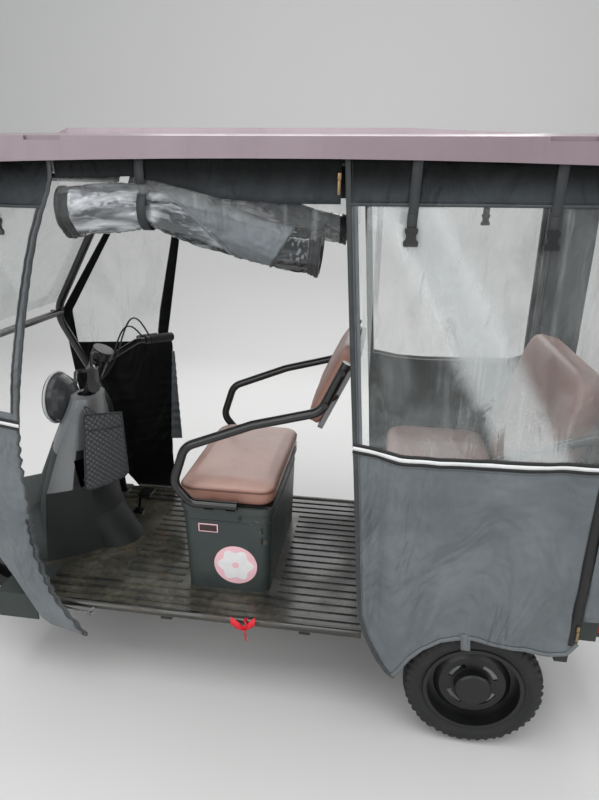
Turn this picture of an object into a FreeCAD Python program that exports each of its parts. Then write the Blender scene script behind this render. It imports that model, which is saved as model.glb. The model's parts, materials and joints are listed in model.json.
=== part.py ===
"""Electric passenger tricycle with a hard roof and zip-on rain curtains, as separate solids.

Frame: +X towards the rear, +Y to the vehicle's right, +Z up, origin on the floor under the
middle of the overall length. Millimetres throughout.
"""

import FreeCAD, Part

import math
import os

V = FreeCAD.Vector
X_AXIS, Y_AXIS, Z_AXIS = V(1, 0, 0), V(0, 1, 0), V(0, 0, 1)

# Gaps between pieces
seat_gap = 0.3          # between a piece and what carries it
lid_gap = 5.0           # between a cushion that lifts and what stays behind
run_gap = 0.08          # radial, between a shaft and its bore

# Wheels
rear_axle_x = 760.0
front_axle_x = -972.0
tyre_radius = 202.5
tyre_width = 86.0
bead_radius = 137.0     # where tyre and rim meet
flange_radius = 144.0
rim_width = 64.0
rim_wall = 4.0
disc_radius = 104.0      # raised middle of the pressed disc
disc_step = 13.0
hub_cap_radius = 53.0
hub_cap_height = 26.0
slot_inner, slot_outer = 64.0, 77.0
slot_count = 4
slot_half_angle = 24.0
wheel_track = 864.0
rear_shaft_radius = 14.0
front_spindle_radius = 9.0

# Chassis
floor_top = 310.0
floor_thickness = 4.0
floor_front_x = -640.0
floor_rear_x = 486.0
floor_half_width = 388.0
toe_front_x = -708.0
toe_half_width = 235.0
rib_height = 4.0
rib_width = 12.0
rib_pitch = 38.0
rail_width = 40.0
rail_height = 42.0
bench_rail_inset = 52.0  # from the bench box's side to the middle of the rail under it
rail_kick = 38.0        # how far the rails rise ahead of the rear axle
rail_front_x = -678.0
kick_start_x = 488.0
kick_end_x = 538.0
rail_rear_x = 1080.0
cross_width = 36.0
strut_foot_x = -560.0
sill_radius = 13.0

# Steering head
rake = 26.0             # degrees from vertical
head_x = -590.0         # a point on the steering axis
head_z = 900.0
head_tube_low_z = 490.0
head_tube_high_z = 850.0
head_tube_radius = 27.0
stem_radius = 14.0
yoke_radius = 22.0
collar_radius = 17.0     # steering column between the crown and the head tube
crown_z = 425.0
fork_half_track = 74.0
fork_leg_radius = 16.0
fender_gap = 20.0
fender_wall = 4.0
fender_half_width = 50.0

# Handlebar
bar_radius = 11.0
bar_centre_z = 985.0
bar_rise = 50.0
bar_rise_half = 180.0
bar_end_half = 322.0
bar_end_back = 150.0
bar_sweep = 74.0
bar_end_drop = 14.0
grip_radius = 17.0
grip_length = 114.0
lever_radius = 6.0
perch_radius = 16.0

# Front body
cowl_wall = 4.0
apron_front_x = -781.0
apron_half_width = 400.0
apron_low_z = 215.0
lamp_x = -712.0          # plane of the lamp's rim
lamp_z = 858.0
lamp_radius = 87.0
lamp_depth = 70.0
lamp_rim = 7.0
lamp_wall = 3.0
lamp_neck_radius = 20.0

# Roof
roof_front_x = -720.0
roof_rear_x = 1160.0
roof_half_width = 510.0
roof_edge_z = 1622.0     # lower edge at both ends
roof_edge_bow = 20.0     # how much higher it is at the middle
roof_shoulder_z = 1688.0
roof_crown = 12.0
roof_wall = 6.0
roof_corner = 90.0
pocket_inset = 22.7      # of a drain pocket's back from the roof's edge
pocket_wall = 3.7
pocket_depth = 9.0
platform_front_x = -370.0
platform_slope_x = 470.0    # where the platform starts to slope down
platform_rear_x = 790.0
platform_half_width = 420.0
platform_rise = 12.0

# Cabin frame
tube_radius = 15.0
cross_tube_radius = 13.0
mirror_bore = 4.0
mirror_bore_depth = 15.0
mirror_boss_radius = 10.0
mirror_boss_reach = 20.0
pillar_y = 340.0
pillar_top_x = -545.0
pillar_bend = (-880.0, 1095.0)
pillar_knee = (-690.0, 735.0)
pillar_foot_x = -660.0
rear_post_x = 1000.0
rear_post_y = 404.0
middle_cross_x = 420.0
glass_wall = 4.0

# Curtains
cloth = 6.0
side_curtain_y = 490.0
rear_corner_x = 1122.0
curtain_zip_x = 1012.0
front_curtain_turn = 13.0   # degrees that the front curtain turns in towards the pillar
roll_radius = 46.0

# Driver's seat
bucket_front_x = -172.0
bucket_length = 292.0
bucket_half_width = 272.0
bucket_height = 318.0
bucket_wall = 4.0
seat_plate = 6.0
cushion_height = 66.0
cushion_overhang = 6.0
seat_tube_radius = 14.0
seat_tube_y = 302.0
driver_back_foot = (214.0, 905.0)
driver_back_lean = 25.0
driver_back_height = 268.0
driver_back_half_width = 205.0
driver_back_pad = 42.0
driver_back_shell = 16.0

# Passenger bench
bench_front_x = 492.0
bench_depth = 370.0
bench_tyre_gap = 37.0
bench_base_height = 268.0
bench_wall = 5.0
bench_cushion_height = 88.0
bench_back_foot_x = 845.0
bench_back_lean = 14.0
bench_back_height = 500.0
bench_back_half_width = 335.0
bench_back_pad = 80.0
bench_back_corner = 150.0
driver_back_corner = 46.0
battery_size = (300.0, 520.0, 170.0)

# Rear body and axle
axle_radius = 30.0
axle_end_gap = 48.0      # from the rim's edge to the axle tube's end
motor_radius = 92.0
motor_length = 120.0
gear_radius = 62.0
gear_offset = 60.0
gear_spring_gap = 25.0
spring_width = 50.0
spring_reach = 200.0
tail_rear_x = 1104.0
tail_half_width = 372.0
tail_top_z = 700.0
tail_wall = 5.0
plate_hole_z = 600.0
plate_hole_pitch = 180.0
plate_hole_radius = 3.5
bumper_x = 1184.5
bumper_z = 322.0
bumper_radius = 14.0

# Values that follow from the sizes above
axle_z = tyre_radius
wheel_y = wheel_track / 2
bench_half_width = wheel_y - tyre_width / 2 - bench_tyre_gap
rail_half_track = bench_half_width - bench_rail_inset
axle_half_length = wheel_y - rim_width / 2 - axle_end_gap
gear_length = rail_half_track - spring_width / 2 - motor_length / 2 - gear_spring_gap
floor_low = floor_top - floor_thickness
rail_top = floor_low
rear_rail_top = rail_top + rail_kick
rake_slope = math.tan(math.radians(rake))
sill_y = floor_half_width + sill_radius + seat_gap
side_rail_y = side_curtain_y - cloth / 2 - seat_gap - tube_radius
roof_pull = (0.0, 12.0, 90.0)   # how far the roof's outline is drawn in at its edge, shoulder and top
ceiling_slope = roof_crown / (roof_pull[2] - roof_pull[1])
# The ceiling over a side rail: on its slope, or on the flat middle where the roof reaches further out
rail_inset = roof_half_width - side_rail_y - roof_wall - roof_pull[1]
ceiling_z = roof_shoulder_z - roof_wall + min(rail_inset * ceiling_slope, roof_crown)
rail_z = ceiling_z - (tube_radius + seat_gap) * math.hypot(1, ceiling_slope)
front_top_z = rail_z - tube_radius - seat_gap
curtain_top_z = rail_z
back_top_z = curtain_top_z - 4
rear_cross_x = roof_rear_x - roof_pull[1] - roof_corner - 22
bench_plate_z = rear_rail_top + seat_gap + bench_base_height + seat_gap
bench_back_foot_z = bench_plate_z + seat_plate + 20
lean_sine, lean_cosine = math.sin(math.radians(bench_back_lean)), math.cos(math.radians(bench_back_lean))


def axis_x(z):
    """Station of the steering axis at height z."""
    return head_x + (z - head_z) * rake_slope


def block(x0, x1, y0, y1, z0, z1):
    """Box between two corners."""
    return Part.makeBox(x1 - x0, y1 - y0, z1 - z0, V(x0, y0, z0))


def rod(start, end, radius):
    """Round bar from one point to another."""
    start, end = V(*start), V(*end)
    return Part.makeCylinder(radius, (end - start).Length, start, end - start)


def path_wire(points, bends):
    """Wire of straight runs through the points, with a tangent arc of the given radius at each inner one."""
    points = [V(*p) for p in points]
    edges, at = [], points[0]
    for before, corner, after, radius in zip(points, points[1:], points[2:], bends):
        back = (before - corner).normalize()
        ahead = (after - corner).normalize()
        half = back.getAngle(ahead) / 2
        reach = radius / math.tan(half)
        first, last = corner + back * reach, corner + ahead * reach
        middle_way = (back + ahead).normalize()
        middle = corner + middle_way * (radius / math.sin(half) - radius)
        if (first - at).Length > 1e-3:
            edges.append(Part.LineSegment(at, first).toShape())
        edges.append(Part.Arc(first, middle, last).toShape())
        at = last
    edges.append(Part.LineSegment(at, points[-1]).toShape())
    return Part.Wire(edges)


def bent_tube(points, radius, bends):
    """Round tube along a path, closed at both ends."""
    wire = path_wire(points, bends)
    start, way = V(*points[0]), V(*points[1]) - V(*points[0])
    ring = Part.Wire(Part.makeCircle(radius, start, way))
    return wire.makePipeShell([ring], True, False)


def outline_face(points, y=0.0):
    """Face in the XZ plane at y. A point is (x, z), or (x, z, radius) where its corner is rounded."""
    edges, ends = [], []
    count = len(points)
    for i, point in enumerate(points):
        corner = V(point[0], y, point[1])
        radius = point[2] if len(point) > 2 else 0.0
        if radius <= 0:
            ends.append((corner, corner, None))
            continue
        before = V(points[i - 1][0], y, points[i - 1][1])
        after = V(points[(i + 1) % count][0], y, points[(i + 1) % count][1])
        back = (before - corner).normalize()
        ahead = (after - corner).normalize()
        half = back.getAngle(ahead) / 2
        reach = radius / math.tan(half)
        middle = corner + (back + ahead).normalize() * (radius / math.sin(half) - radius)
        ends.append((corner + back * reach, corner + ahead * reach, middle))
    for i, (first, last, middle) in enumerate(ends):
        if middle is not None:
            edges.append(Part.Arc(first, middle, last).toShape())
        following = ends[(i + 1) % count][0]
        if (following - last).Length > 1e-3:
            edges.append(Part.LineSegment(last, following).toShape())
    return Part.Face(Part.Wire(edges))


def plate(points, y0, y1):
    """Outline in the XZ plane given thickness from y0 to y1."""
    return outline_face(points, y0).extrude(V(0, y1 - y0, 0))


def round_rectangle(x0, x1, half_width, radius, z):
    """Closed wire of a rectangle with round corners, lying flat at height z."""
    xs, ys, r = (x0, x1), (-half_width, half_width), radius
    k = r * (1 - math.sqrt(0.5))
    edges = []
    corners = [
        (V(xs[0] + r, ys[0], z), V(xs[1] - r, ys[0], z), V(xs[1] - k, ys[0] + k, z), V(xs[1], ys[0] + r, z)),
        (V(xs[1], ys[0] + r, z), V(xs[1], ys[1] - r, z), V(xs[1] - k, ys[1] - k, z), V(xs[1] - r, ys[1], z)),
        (V(xs[1] - r, ys[1], z), V(xs[0] + r, ys[1], z), V(xs[0] + k, ys[1] - k, z), V(xs[0], ys[1] - r, z)),
        (V(xs[0], ys[1] - r, z), V(xs[0], ys[0] + r, z), V(xs[0] + k, ys[0] + k, z), V(xs[0] + r, ys[0], z)),
    ]
    for start, turn, middle, end in corners:
        edges.append(Part.LineSegment(start, turn).toShape())
        edges.append(Part.Arc(turn, middle, end).toShape())
    return Part.Wire(edges)


def loft(wires):
    """Solid through closed wires, with straight sides between them."""
    return Part.makeLoft(wires, True, True)


def mirrored(shape):
    """The same piece on the vehicle's other side."""
    return shape.mirror(V(0, 0, 0), Y_AXIS)


def fuse(shapes):
    """One solid from pieces that touch or overlap."""
    whole = shapes[0].multiFuse(shapes[1:])
    return whole.removeSplitter()


def revolved(profile, axis):
    """Solid of revolution from (station on the axis, radius) points."""
    points = [axis * station + Z_AXIS * radius for station, radius in profile]
    face = Part.Face(Part.makePolygon(points + [points[0]]))
    return face.revolve(V(0, 0, 0), axis, 360)


def tyre(x, y):
    """Tyre with rounded shoulders, revolved about its axle."""
    half, seat, top = tyre_width / 2, rim_width / 2, tyre_radius
    # From the bead over the wall and shoulder to the middle: distance from the middle plane, radius
    side = [(seat, bead_radius), (seat, flange_radius + 1), (half - 2, flange_radius + 13), (half, top - 34),
            (half - 4, top - 14), (half - 18, top - 3)]
    ring = revolved(side + [(0, top)] + [(-s, r) for s, r in reversed(side)], Y_AXIS)
    ring.translate(V(x, y, axle_z))
    return ring


def arc_slot(inner, outer, middle, half_angle, depth):
    """Cutter for a slot between two radii, round the axle."""
    corners = []
    for radius, angles in ((inner, (-half_angle, 0, half_angle)), (outer, (half_angle, 0, -half_angle))):
        corners.append([V(radius * math.sin(math.radians(middle + a)), -depth / 2,
                          radius * math.cos(math.radians(middle + a))) for a in angles])
    low, high = corners
    edges = [Part.Arc(*low).toShape(), Part.LineSegment(low[2], high[0]).toShape(),
             Part.Arc(*high).toShape(), Part.LineSegment(high[2], low[0]).toShape()]
    return Part.Face(Part.Wire(edges)).extrude(V(0, depth, 0))


def rim(x, y, outer_side, bore_radius):
    """Pressed disc wheel: barrel with flanges, stepped disc with arc slots, and a hub with a round cap."""
    half, inside, wall = rim_width / 2, bead_radius - seat_gap, rim_wall
    lip = half + seat_gap
    barrel = revolved([(-lip - wall, inside - wall), (-lip - wall, flange_radius), (-lip, flange_radius),
                       (-lip, inside), (lip, inside), (lip, flange_radius), (lip + wall, flange_radius),
                       (lip + wall, inside - wall)], Y_AXIS)
    # The disc in section, from the barrel inwards: flat ring, cone, raised middle and cap, then its back
    cap = disc_step + hub_cap_height
    front = [(0, inside - wall + 0.5), (0, disc_radius + 8), (disc_step, disc_radius - 8),
             (disc_step, hub_cap_radius), (cap - 5, hub_cap_radius), (cap, hub_cap_radius - 5), (cap, 0)]
    back = [(disc_step - 44, 0), (disc_step - 44, hub_cap_radius - 15), (disc_step - 5, hub_cap_radius - 15),
            (disc_step - 5, disc_radius - 10), (-5, disc_radius + 6), (-5, inside - wall + 0.5)]
    disc = revolved(front + back, Y_AXIS)
    for turn in range(slot_count):
        middle = (turn + 0.5) * 360 / slot_count
        disc = disc.cut(arc_slot(slot_inner, slot_outer, middle, slot_half_angle, 4 * disc_step))
    bore = bore_radius + run_gap
    through = bore_radius == front_spindle_radius
    depth = cap + 45 if through else disc_step + 15
    disc = disc.cut(Part.makeCylinder(bore, depth + 60, V(0, -60, 0), Y_AXIS))
    whole = fuse([barrel, disc])
    if outer_side < 0:
        whole = mirrored(whole)
    whole.translate(V(x, y, axle_z))
    return whole


def chassis_frame():
    """Two longitudinal rails that rise over the rear axle, cross members, the backbone and the head tube."""
    low, high = rail_top - rail_height, rail_top
    side = [
        (rail_front_x, low), (kick_start_x, low), (kick_end_x, low + rail_kick),
        (rail_rear_x, low + rail_kick), (rail_rear_x, high + rail_kick), (kick_end_x, high + rail_kick),
        (kick_start_x, high), (rail_front_x, high),
    ]
    inner, outer = rail_half_track - rail_width / 2, rail_half_track + rail_width / 2
    parts = [plate(side, y0, y1) for y0, y1 in ((-outer, -inner), (inner, outer))]
    # Cross members: station, half length, rise of their top over the front rails
    edge = floor_half_width - 1
    members = ((pillar_foot_x, edge - 8, 0), (-200, edge, 0), (250, edge, 0), (560, inner, rail_kick),
               (rear_post_x, rear_post_y + tube_radius + 3, rail_kick), (1060, inner, rail_kick))
    for x, half, rise in members:
        parts.append(block(x - cross_width / 2, x + cross_width / 2, -half, half, low + rise, high + rise))
    top_z = head_tube_low_z + 120
    parts.append(block(pillar_foot_x, -200, -25, 25, low, high))
    parts.append(rod((strut_foot_x, 0, low + 22), (axis_x(top_z) + 8, 0, top_z), 20))
    parts.append(rod((-615, 0, low + 22), (axis_x(head_tube_low_z + 60) + 8, 0, head_tube_low_z + 60), 16))
    parts.append(rod((axis_x(head_tube_low_z), 0, head_tube_low_z),
                     (axis_x(head_tube_high_z), 0, head_tube_high_z), head_tube_radius))
    whole = fuse(parts)
    bore = rod((axis_x(head_tube_low_z - 40), 0, head_tube_low_z - 40),
               (axis_x(head_tube_high_z + 40), 0, head_tube_high_z + 40), stem_radius + run_gap)
    return whole.cut(bore)


def floor_pan():
    """Flat floor with a narrower toe under the leg shield, and lengthwise ribs."""
    whole = block(floor_front_x, floor_rear_x, -floor_half_width, floor_half_width, floor_low, floor_top)
    strut_hole = block(toe_front_x + 20, strut_foot_x + 45, -30, 30, floor_low - 1, floor_top + rib_height)
    toe = block(toe_front_x, floor_front_x + 1, -toe_half_width, toe_half_width, floor_low, floor_top)
    parts = [whole, toe]
    count = int(floor_half_width * 2 / rib_pitch)
    for i in range(count):
        y = (i - (count - 1) / 2) * rib_pitch
        if abs(y) > bucket_half_width + rib_width:
            parts.append(block(floor_front_x + 10, floor_rear_x - 10, y - rib_width / 2, y + rib_width / 2,
                               floor_top - 1, floor_top + rib_height))
        else:
            parts.append(block(bucket_front_x + bucket_length + 20, floor_rear_x - 10, y - rib_width / 2,
                               y + rib_width / 2, floor_top - 1, floor_top + rib_height))
            parts.append(block(-400, bucket_front_x - 20, y - rib_width / 2, y + rib_width / 2,
                               floor_top - 1, floor_top + rib_height))
    return fuse(parts).cut(strut_hole)


def side_sill(side):
    """Bright tube along the door opening, on the floor's edge."""
    y, z = side * sill_y, floor_top - 6
    return rod((floor_front_x + 30, y, z), (floor_rear_x - 60, y, z), sill_radius)


def bulged(start, end, bulge):
    """Arc from one point to another that stands out to the right of its way by a bulge."""
    way = (end - start).normalize()
    middle = (start + end) * 0.5 + V(way.y, -way.x, 0) * bulge
    return Part.Arc(start, middle, end).toShape()


def column_section(row, inset, z):
    """Closed wire of the steering column's cover at height z, symmetric about the middle plane."""
    _, front, nose, bow, edge, half, waist, waist_half, rear = row
    nose_corner = V(front + inset, inset - nose, z)
    side = V(edge, inset - half, z)
    hollow = V(waist - inset, inset - waist_half, z)
    last = V(rear - inset, 0, z)
    left = [(nose_corner, side, 8), (side, hollow, 8)]
    edges = [bulged(a, b, bulge) for a, b, bulge in left]
    other = V(hollow.x, -hollow.y, z)
    edges.append(Part.Arc(hollow, last, other).toShape())
    for a, b, bulge in reversed(left):
        edges.append(bulged(V(b.x, -b.y, z), V(a.x, -a.y, z), bulge))
    other = V(nose_corner.x, -nose_corner.y, z)
    edges.append(Part.Arc(other, V(front + inset - bow, 0, z), nose_corner).toShape())
    return Part.Wire(edges)


# Column cover sections: height, front corner, its half width, bow of the front, side edge, its half width,
# rear corner, its half width, rear middle
COLUMN = (
    (floor_top, -815.0, 112.0, 35.0, -700.0, 215.0, -545.0, 100.0, -438.0),
    (440.0, -790.0, 90.0, 48.0, -698.0, 205.0, -560.0, 104.0, -516.0),
    (560.0, -758.0, 72.0, 48.0, -690.0, 190.0, -566.0, 104.0, -545.0),
    (710.0, -712.0, 60.0, 24.0, -650.0, 150.0, -572.0, 84.0, -556.0),
    (880.0, -636.0, 40.0, 18.0, -594.0, 78.0, -554.0, 44.0, -545.0),
)


def column(inset, low_extra, high_cut):
    """Solid of the column cover, drawn in by an inset."""
    heights = [row[0] for row in COLUMN]
    heights[0] -= low_extra
    heights[-1] -= high_cut
    return loft([column_section(row, inset, z) for row, z in zip(COLUMN, heights)])


# Nose sections: station, half width, lower edge, upper edge, corner radius
NOSE = (
    (-690.0, 208.0, 215.0, 440.0, 80.0),
    (-790.0, 204.0, 215.0, 476.0, 90.0),
    (-900.0, 206.0, 215.0, 477.0, 100.0),
    (-985.0, 200.0, 215.0, 455.0, 100.0),
    (-1120.0, 150.0, 215.0, 442.0, 80.0),
)


def nose_section(x, half, low, high, radius):
    """Closed wire across the nose at station x, with rounded upper corners."""
    k = radius * (1 - math.sqrt(0.5))
    edges = [
        Part.LineSegment(V(x, -half, low), V(x, -half, high - radius)),
        Part.Arc(V(x, -half, high - radius), V(x, k - half, high - k), V(x, radius - half, high)),
        Part.LineSegment(V(x, radius - half, high), V(x, half - radius, high)),
        Part.Arc(V(x, half - radius, high), V(x, half - k, high - k), V(x, half, high - radius)),
        Part.LineSegment(V(x, half, high - radius), V(x, half, low)),
        Part.LineSegment(V(x, half, low), V(x, -half, low)),
    ]
    return Part.Wire([edge.toShape() for edge in edges])


def front_cowl():
    """Nose over the front wheel, with the front of the column cover rising from it."""
    outer_nose = loft([nose_section(*row) for row in NOSE])
    inner_rows = []
    for i, (x, half, low, high, radius) in enumerate(NOSE):
        shift = {0: 10.0, len(NOSE) - 1: cowl_wall}.get(i, 0.0)
        inner_rows.append((x + shift, half - cowl_wall, low - 20, high - cowl_wall, radius - cowl_wall))
    inner_nose = loft([nose_section(*row) for row in inner_rows])
    outer_column = column(0.0, 0.0, 0.0)
    inner_column = column(cowl_wall, 20.0, cowl_wall)
    outer = outer_nose.fuse(outer_column)
    inner = inner_nose.fuse(inner_column)
    shell = outer.cut(inner)
    # The side view of the wheel arch, open below the fender's sweep
    arch = plate([(-1300, 100), (-790, 100), (-790, 215, 60), (-850, 380, 60), (-930, 428, 40), (-1300, 428)],
                 -500.0, 500.0)
    shell = shell.cut(arch)
    shell = shell.cut(behind_parting(0.0, floor_top - 30))
    shell = shell.cut(rod((axis_x(780), 0, 780), (axis_x(980), 0, 980), head_tube_radius + 3))
    toe = toe_half_width + seat_gap
    shell = shell.cut(block(toe_front_x - seat_gap, floor_front_x, -toe, toe, floor_low - seat_gap,
                            floor_top + seat_gap))
    shell = fuse([shell] + apron(outer))
    for y in (-pillar_y, pillar_y):
        shell = shell.cut(bent_tube(pillar_points(y), tube_radius + 4, PILLAR_BENDS))
    return largest(shell)


def apron(middle):
    """Floor's continuation on both sides of the nose, open below, around what stands in the middle."""
    rear, half, wall = floor_front_x - seat_gap, apron_half_width, floor_thickness - seat_gap
    body = block(apron_front_x, rear, -half, half, apron_low_z, floor_top)
    inside = half - cowl_wall
    body = body.cut(block(apron_front_x + cowl_wall, rear + 1, -inside, inside, apron_low_z - 1,
                          floor_top - wall))
    toe = toe_half_width + seat_gap
    body = body.cut(block(toe_front_x - seat_gap, rear + 1, -toe, toe, apron_low_z - 1, floor_top + 1))
    return body.cut(middle).Solids


def largest(shape):
    """The biggest solid of a shape."""
    return max(shape.Solids, key=lambda s: s.Volume)


# Parting line of the column cover in the side view, from the floor up
PARTING = ((-703.0, floor_top), (-690.0, 560.0), (-650.0, 710.0), (-594.0, 890.0), (-590.0, 1000.0))


def behind_parting(gap, low_z):
    """Space behind the parting line, set back by a gap and starting at a given height."""
    line = [(x + gap, z) for x, z in PARTING]
    space = plate([(line[0][0], 0)] + line + [(-300, PARTING[-1][1]), (-300, 0)], -500, 500)
    return space.cut(block(-1300, 0, -600, 600, -1, low_z))


def inner_shield():
    """Rear half of the column cover, with an open pocket on its left."""
    shell = column(0.0, 0.0, 0.0).cut(column(cowl_wall, 20.0, cowl_wall))
    shell = shell.common(behind_parting(2 * seat_gap, floor_top + seat_gap))
    shell = shell.cut(block(-620, -480, -128, -52, 570, 672))
    shell = shell.cut(rod((axis_x(780), 0, 780), (axis_x(980), 0, 980), head_tube_radius + 3))
    return largest(shell)


def headlamp_shell():
    """Round bowl of the headlamp with its rim, on a short neck from the column cover."""
    radius, depth, wall = lamp_radius, lamp_depth, lamp_wall
    mouth = radius - lamp_rim
    # The bowl from the rim to the neck: share of the depth, share of the radius
    curve = ((0.30, 0.965), (0.55, 0.85), (0.78, 0.64), (0.94, 0.36))
    outside = [(-10, mouth), (-10, radius + 3), (2, radius + 3), (2, radius)]
    outside += [(depth * a, radius * r) for a, r in curve] + [(depth, 0)]
    inside = [(depth - wall, 0)]
    inside += [(depth * a - wall, radius * r - wall) for a, r in reversed(curve)] + [(2, mouth)]
    bowl = revolved(outside + inside, X_AXIS)
    bowl.translate(V(lamp_x, 0, lamp_z))
    neck = rod((lamp_x + depth - 1.5 * wall, 0, lamp_z), (lamp_x + depth + 60, 0, lamp_z), lamp_neck_radius)
    return largest(fuse([bowl, neck]).cut(column(-seat_gap, 0.0, -seat_gap)))


def headlamp_lens():
    """Clear disc seated in the rim."""
    return Part.makeCylinder(lamp_radius - lamp_rim - seat_gap, 6.0, V(lamp_x - 9, 0, lamp_z), X_AXIS)


def roof_shell(inset, drop):
    """Outer form of the roof, drawn in by an inset and lowered."""
    wires = []
    for z, pull in zip((roof_edge_z, roof_shoulder_z, roof_shoulder_z + roof_crown), roof_pull):
        wires.append(round_rectangle(roof_front_x + pull + inset, roof_rear_x - pull - inset,
                                     roof_half_width - pull - inset, roof_corner, z - drop))
    return loft(wires)


# Drain pockets in the roof's edge on both sides: first and last station
ROOF_POCKETS = ((-415.0, -325.0), (755.0, 852.0))


def roof_panel():
    """Hollow moulded roof with a bowed lower edge, a raised middle platform and drain pockets in its edge."""
    outside = roof_shell(0.0, 0.0)
    whole = outside.cut(roof_shell(roof_wall, roof_wall))
    top, low, end = roof_shoulder_z + roof_crown, roof_edge_z, roof_half_width + 10
    side = plate([(platform_front_x - 7, top - 1), (platform_front_x + 19, top + platform_rise),
                  (platform_slope_x, top + platform_rise), (platform_rear_x, top - 1)], -end, end)
    plan = loft([
        round_rectangle(platform_front_x - 40, platform_rear_x + 40, platform_half_width, 60, top - 2),
        round_rectangle(platform_front_x - 28, platform_rear_x + 28, platform_half_width - 12, 50,
                        top + platform_rise + 1),
    ])
    whole = fuse([whole, side.common(plan)])
    middle_x = (roof_front_x + roof_rear_x) / 2
    raised = V(middle_x, -end, low + roof_edge_bow)
    bow = [Part.Arc(V(roof_front_x, -end, low), raised, V(roof_rear_x, -end, low)),
           Part.LineSegment(V(roof_rear_x, -end, low), V(middle_x, -end, low - 80)),
           Part.LineSegment(V(middle_x, -end, low - 80), V(roof_front_x, -end, low))]
    under = Part.Face(Part.Wire([line.toShape() for line in bow])).extrude(V(0, 2 * end, 0))
    whole = whole.cut(under)
    # A pocket's back stands clear of the side rail
    wall, floor_z, back_y = pocket_wall, roof_shoulder_z - pocket_depth, roof_half_width - pocket_inset
    for first, last in ROOF_POCKETS:
        cup = block(first - wall, last + wall, back_y, end, floor_z - wall, top).common(outside)
        hole = block(first, last, back_y + wall, end, floor_z, top)
        for near, hollow in ((cup, hole), (mirrored(cup), mirrored(hole))):
            whole = whole.fuse(near).cut(hollow)
    return largest(whole.removeSplitter())


def roof_frame():
    """Tubes under the roof: two side rails and cross tubes, with the two rear posts."""
    parts = []
    for y in (-side_rail_y, side_rail_y):
        first, last = pillar_top_x - tube_radius, rear_cross_x + cross_tube_radius - 1
        parts.append(rod((first, y, rail_z), (last, y, rail_z), tube_radius))
    for x in (pillar_top_x, middle_cross_x, rear_post_x, rear_cross_x):
        parts.append(rod((x, -side_rail_y, rail_z), (x, side_rail_y, rail_z), cross_tube_radius))
    for y in (-rear_post_y, rear_post_y):
        parts.append(rod((rear_post_x, y, rear_rail_top + seat_gap), (rear_post_x, y, rail_z),
                         tube_radius - 1))
    # The bar that the bench's backrest leans on
    reach = (rear_post_x - bench_back_foot_x) * lean_cosine - bench_back_pad - cross_tube_radius - seat_gap
    lean_z = bench_back_foot_z + reach / lean_sine
    parts.append(rod((rear_post_x, -rear_post_y, lean_z), (rear_post_x, rear_post_y, lean_z),
                     cross_tube_radius))
    return fuse(parts)


def pillar_points(y):
    """Path of a front pillar, from under the roof down to the front cross member."""
    middle = [(x, y, z) for x, z in (pillar_bend, pillar_knee)]
    return [(pillar_top_x, y, rail_z)] + middle + [(pillar_foot_x, y, rail_top + seat_gap)]


PILLAR_BENDS = (110, 150)
bend_apex_x = pillar_bend[0] + 16


def windscreen_frame():
    """Two bent front pillars joined by a bar under the windscreen and one above it."""
    parts = [bent_tube(pillar_points(y), tube_radius, PILLAR_BENDS) for y in (-pillar_y, pillar_y)]
    bar_x, bar_z = pillar_bend[0] + 22, pillar_bend[1] + 4
    parts.append(rod((bar_x, -pillar_y, bar_z), (bar_x, pillar_y, bar_z), tube_radius - 2))
    high_x, high_z = pillar_top_x - 30, rail_z - 66
    parts.append(rod((high_x, -pillar_y, high_z), (high_x, pillar_y, high_z), tube_radius - 3))
    # Threaded bosses for mirrors, on the front of both bends
    first, last = bend_apex_x, bend_apex_x - tube_radius - mirror_boss_reach
    for y in (-pillar_y, pillar_y):
        parts.append(rod((first, y, pillar_bend[1]), (last, y, pillar_bend[1]), mirror_boss_radius))
    whole = fuse(parts)
    for y in (-pillar_y, pillar_y):
        whole = whole.cut(rod((last + mirror_bore_depth, y, pillar_bend[1]), (last - 1, y, pillar_bend[1]),
                              mirror_bore))
    cross = rod((pillar_top_x, -side_rail_y, rail_z), (pillar_top_x, side_rail_y, rail_z),
                tube_radius + seat_gap)
    flat = block(-800, -500, -500, 500, 0, rail_top + seat_gap)
    return largest(whole.cut(cross).cut(flat))


def windscreen():
    """Flat pane on the front of the pillars."""
    top = V(pillar_top_x, 0, rail_z)
    low = V(pillar_bend[0], 0, pillar_bend[1])
    along = (low - top).normalize()
    out = V(along.z, 0, -along.x)
    if out.x > 0:
        out = out * -1
    face_gap = tube_radius + seat_gap
    start, end = top + along * 52 + out * face_gap, low - along * 36 + out * face_gap
    back_start, back_end = start + out * glass_wall, end + out * glass_wall
    points = [(p.x, p.z) for p in (start, end, back_end, back_start)]
    return plate(points, -pillar_y - 18, pillar_y + 18)


front_edge_x = -360.0
# Front curtains' rear edges from the roof down to the tail's tip, in the side view: station, height. The
# right one hangs further back.
FRONT_EDGES = {
    -1: ((front_edge_x, front_top_z), (-362, 1592), (-409, 1499), (-452, 1396), (-511, 1216), (-565, 1011),
         (-592, 832), (-593, 675), (-586, 526), (-547, 391), (-507, 327), (-431, 251)),
    1: ((front_edge_x, front_top_z), (-362, 1592), (-384, 1480), (-398, 1379), (-446, 1100), (-464, 986),
        (-448, 944), (-462, 700), (-474, 450), (-462, 330), (-431, 251)),
}
# Front curtain's lower and front edge from the tail's tip up to the roof
FRONT_OUTER = (
    (-489, 238), (-545, 233), (-605, 252), (-651, 315), (-698, 379), (-752, 448), (-812, 560), (-852, 760),
    (-884, 1098), (-590, 1560), (-560, front_top_z),
)
# Rear curtain from the top front corner round its lower edge to the zip
REAR_OUTLINE = (
    (331, curtain_top_z), (366, 1086), (378, 957), (411, 460), (452, 345), (524, 240), (560, 300, 60),
    (622, 368, 80), (730, 402, 200), (841, 386), (943, 376), (curtain_zip_x, 420),
    (curtain_zip_x, curtain_top_z),
)
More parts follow.
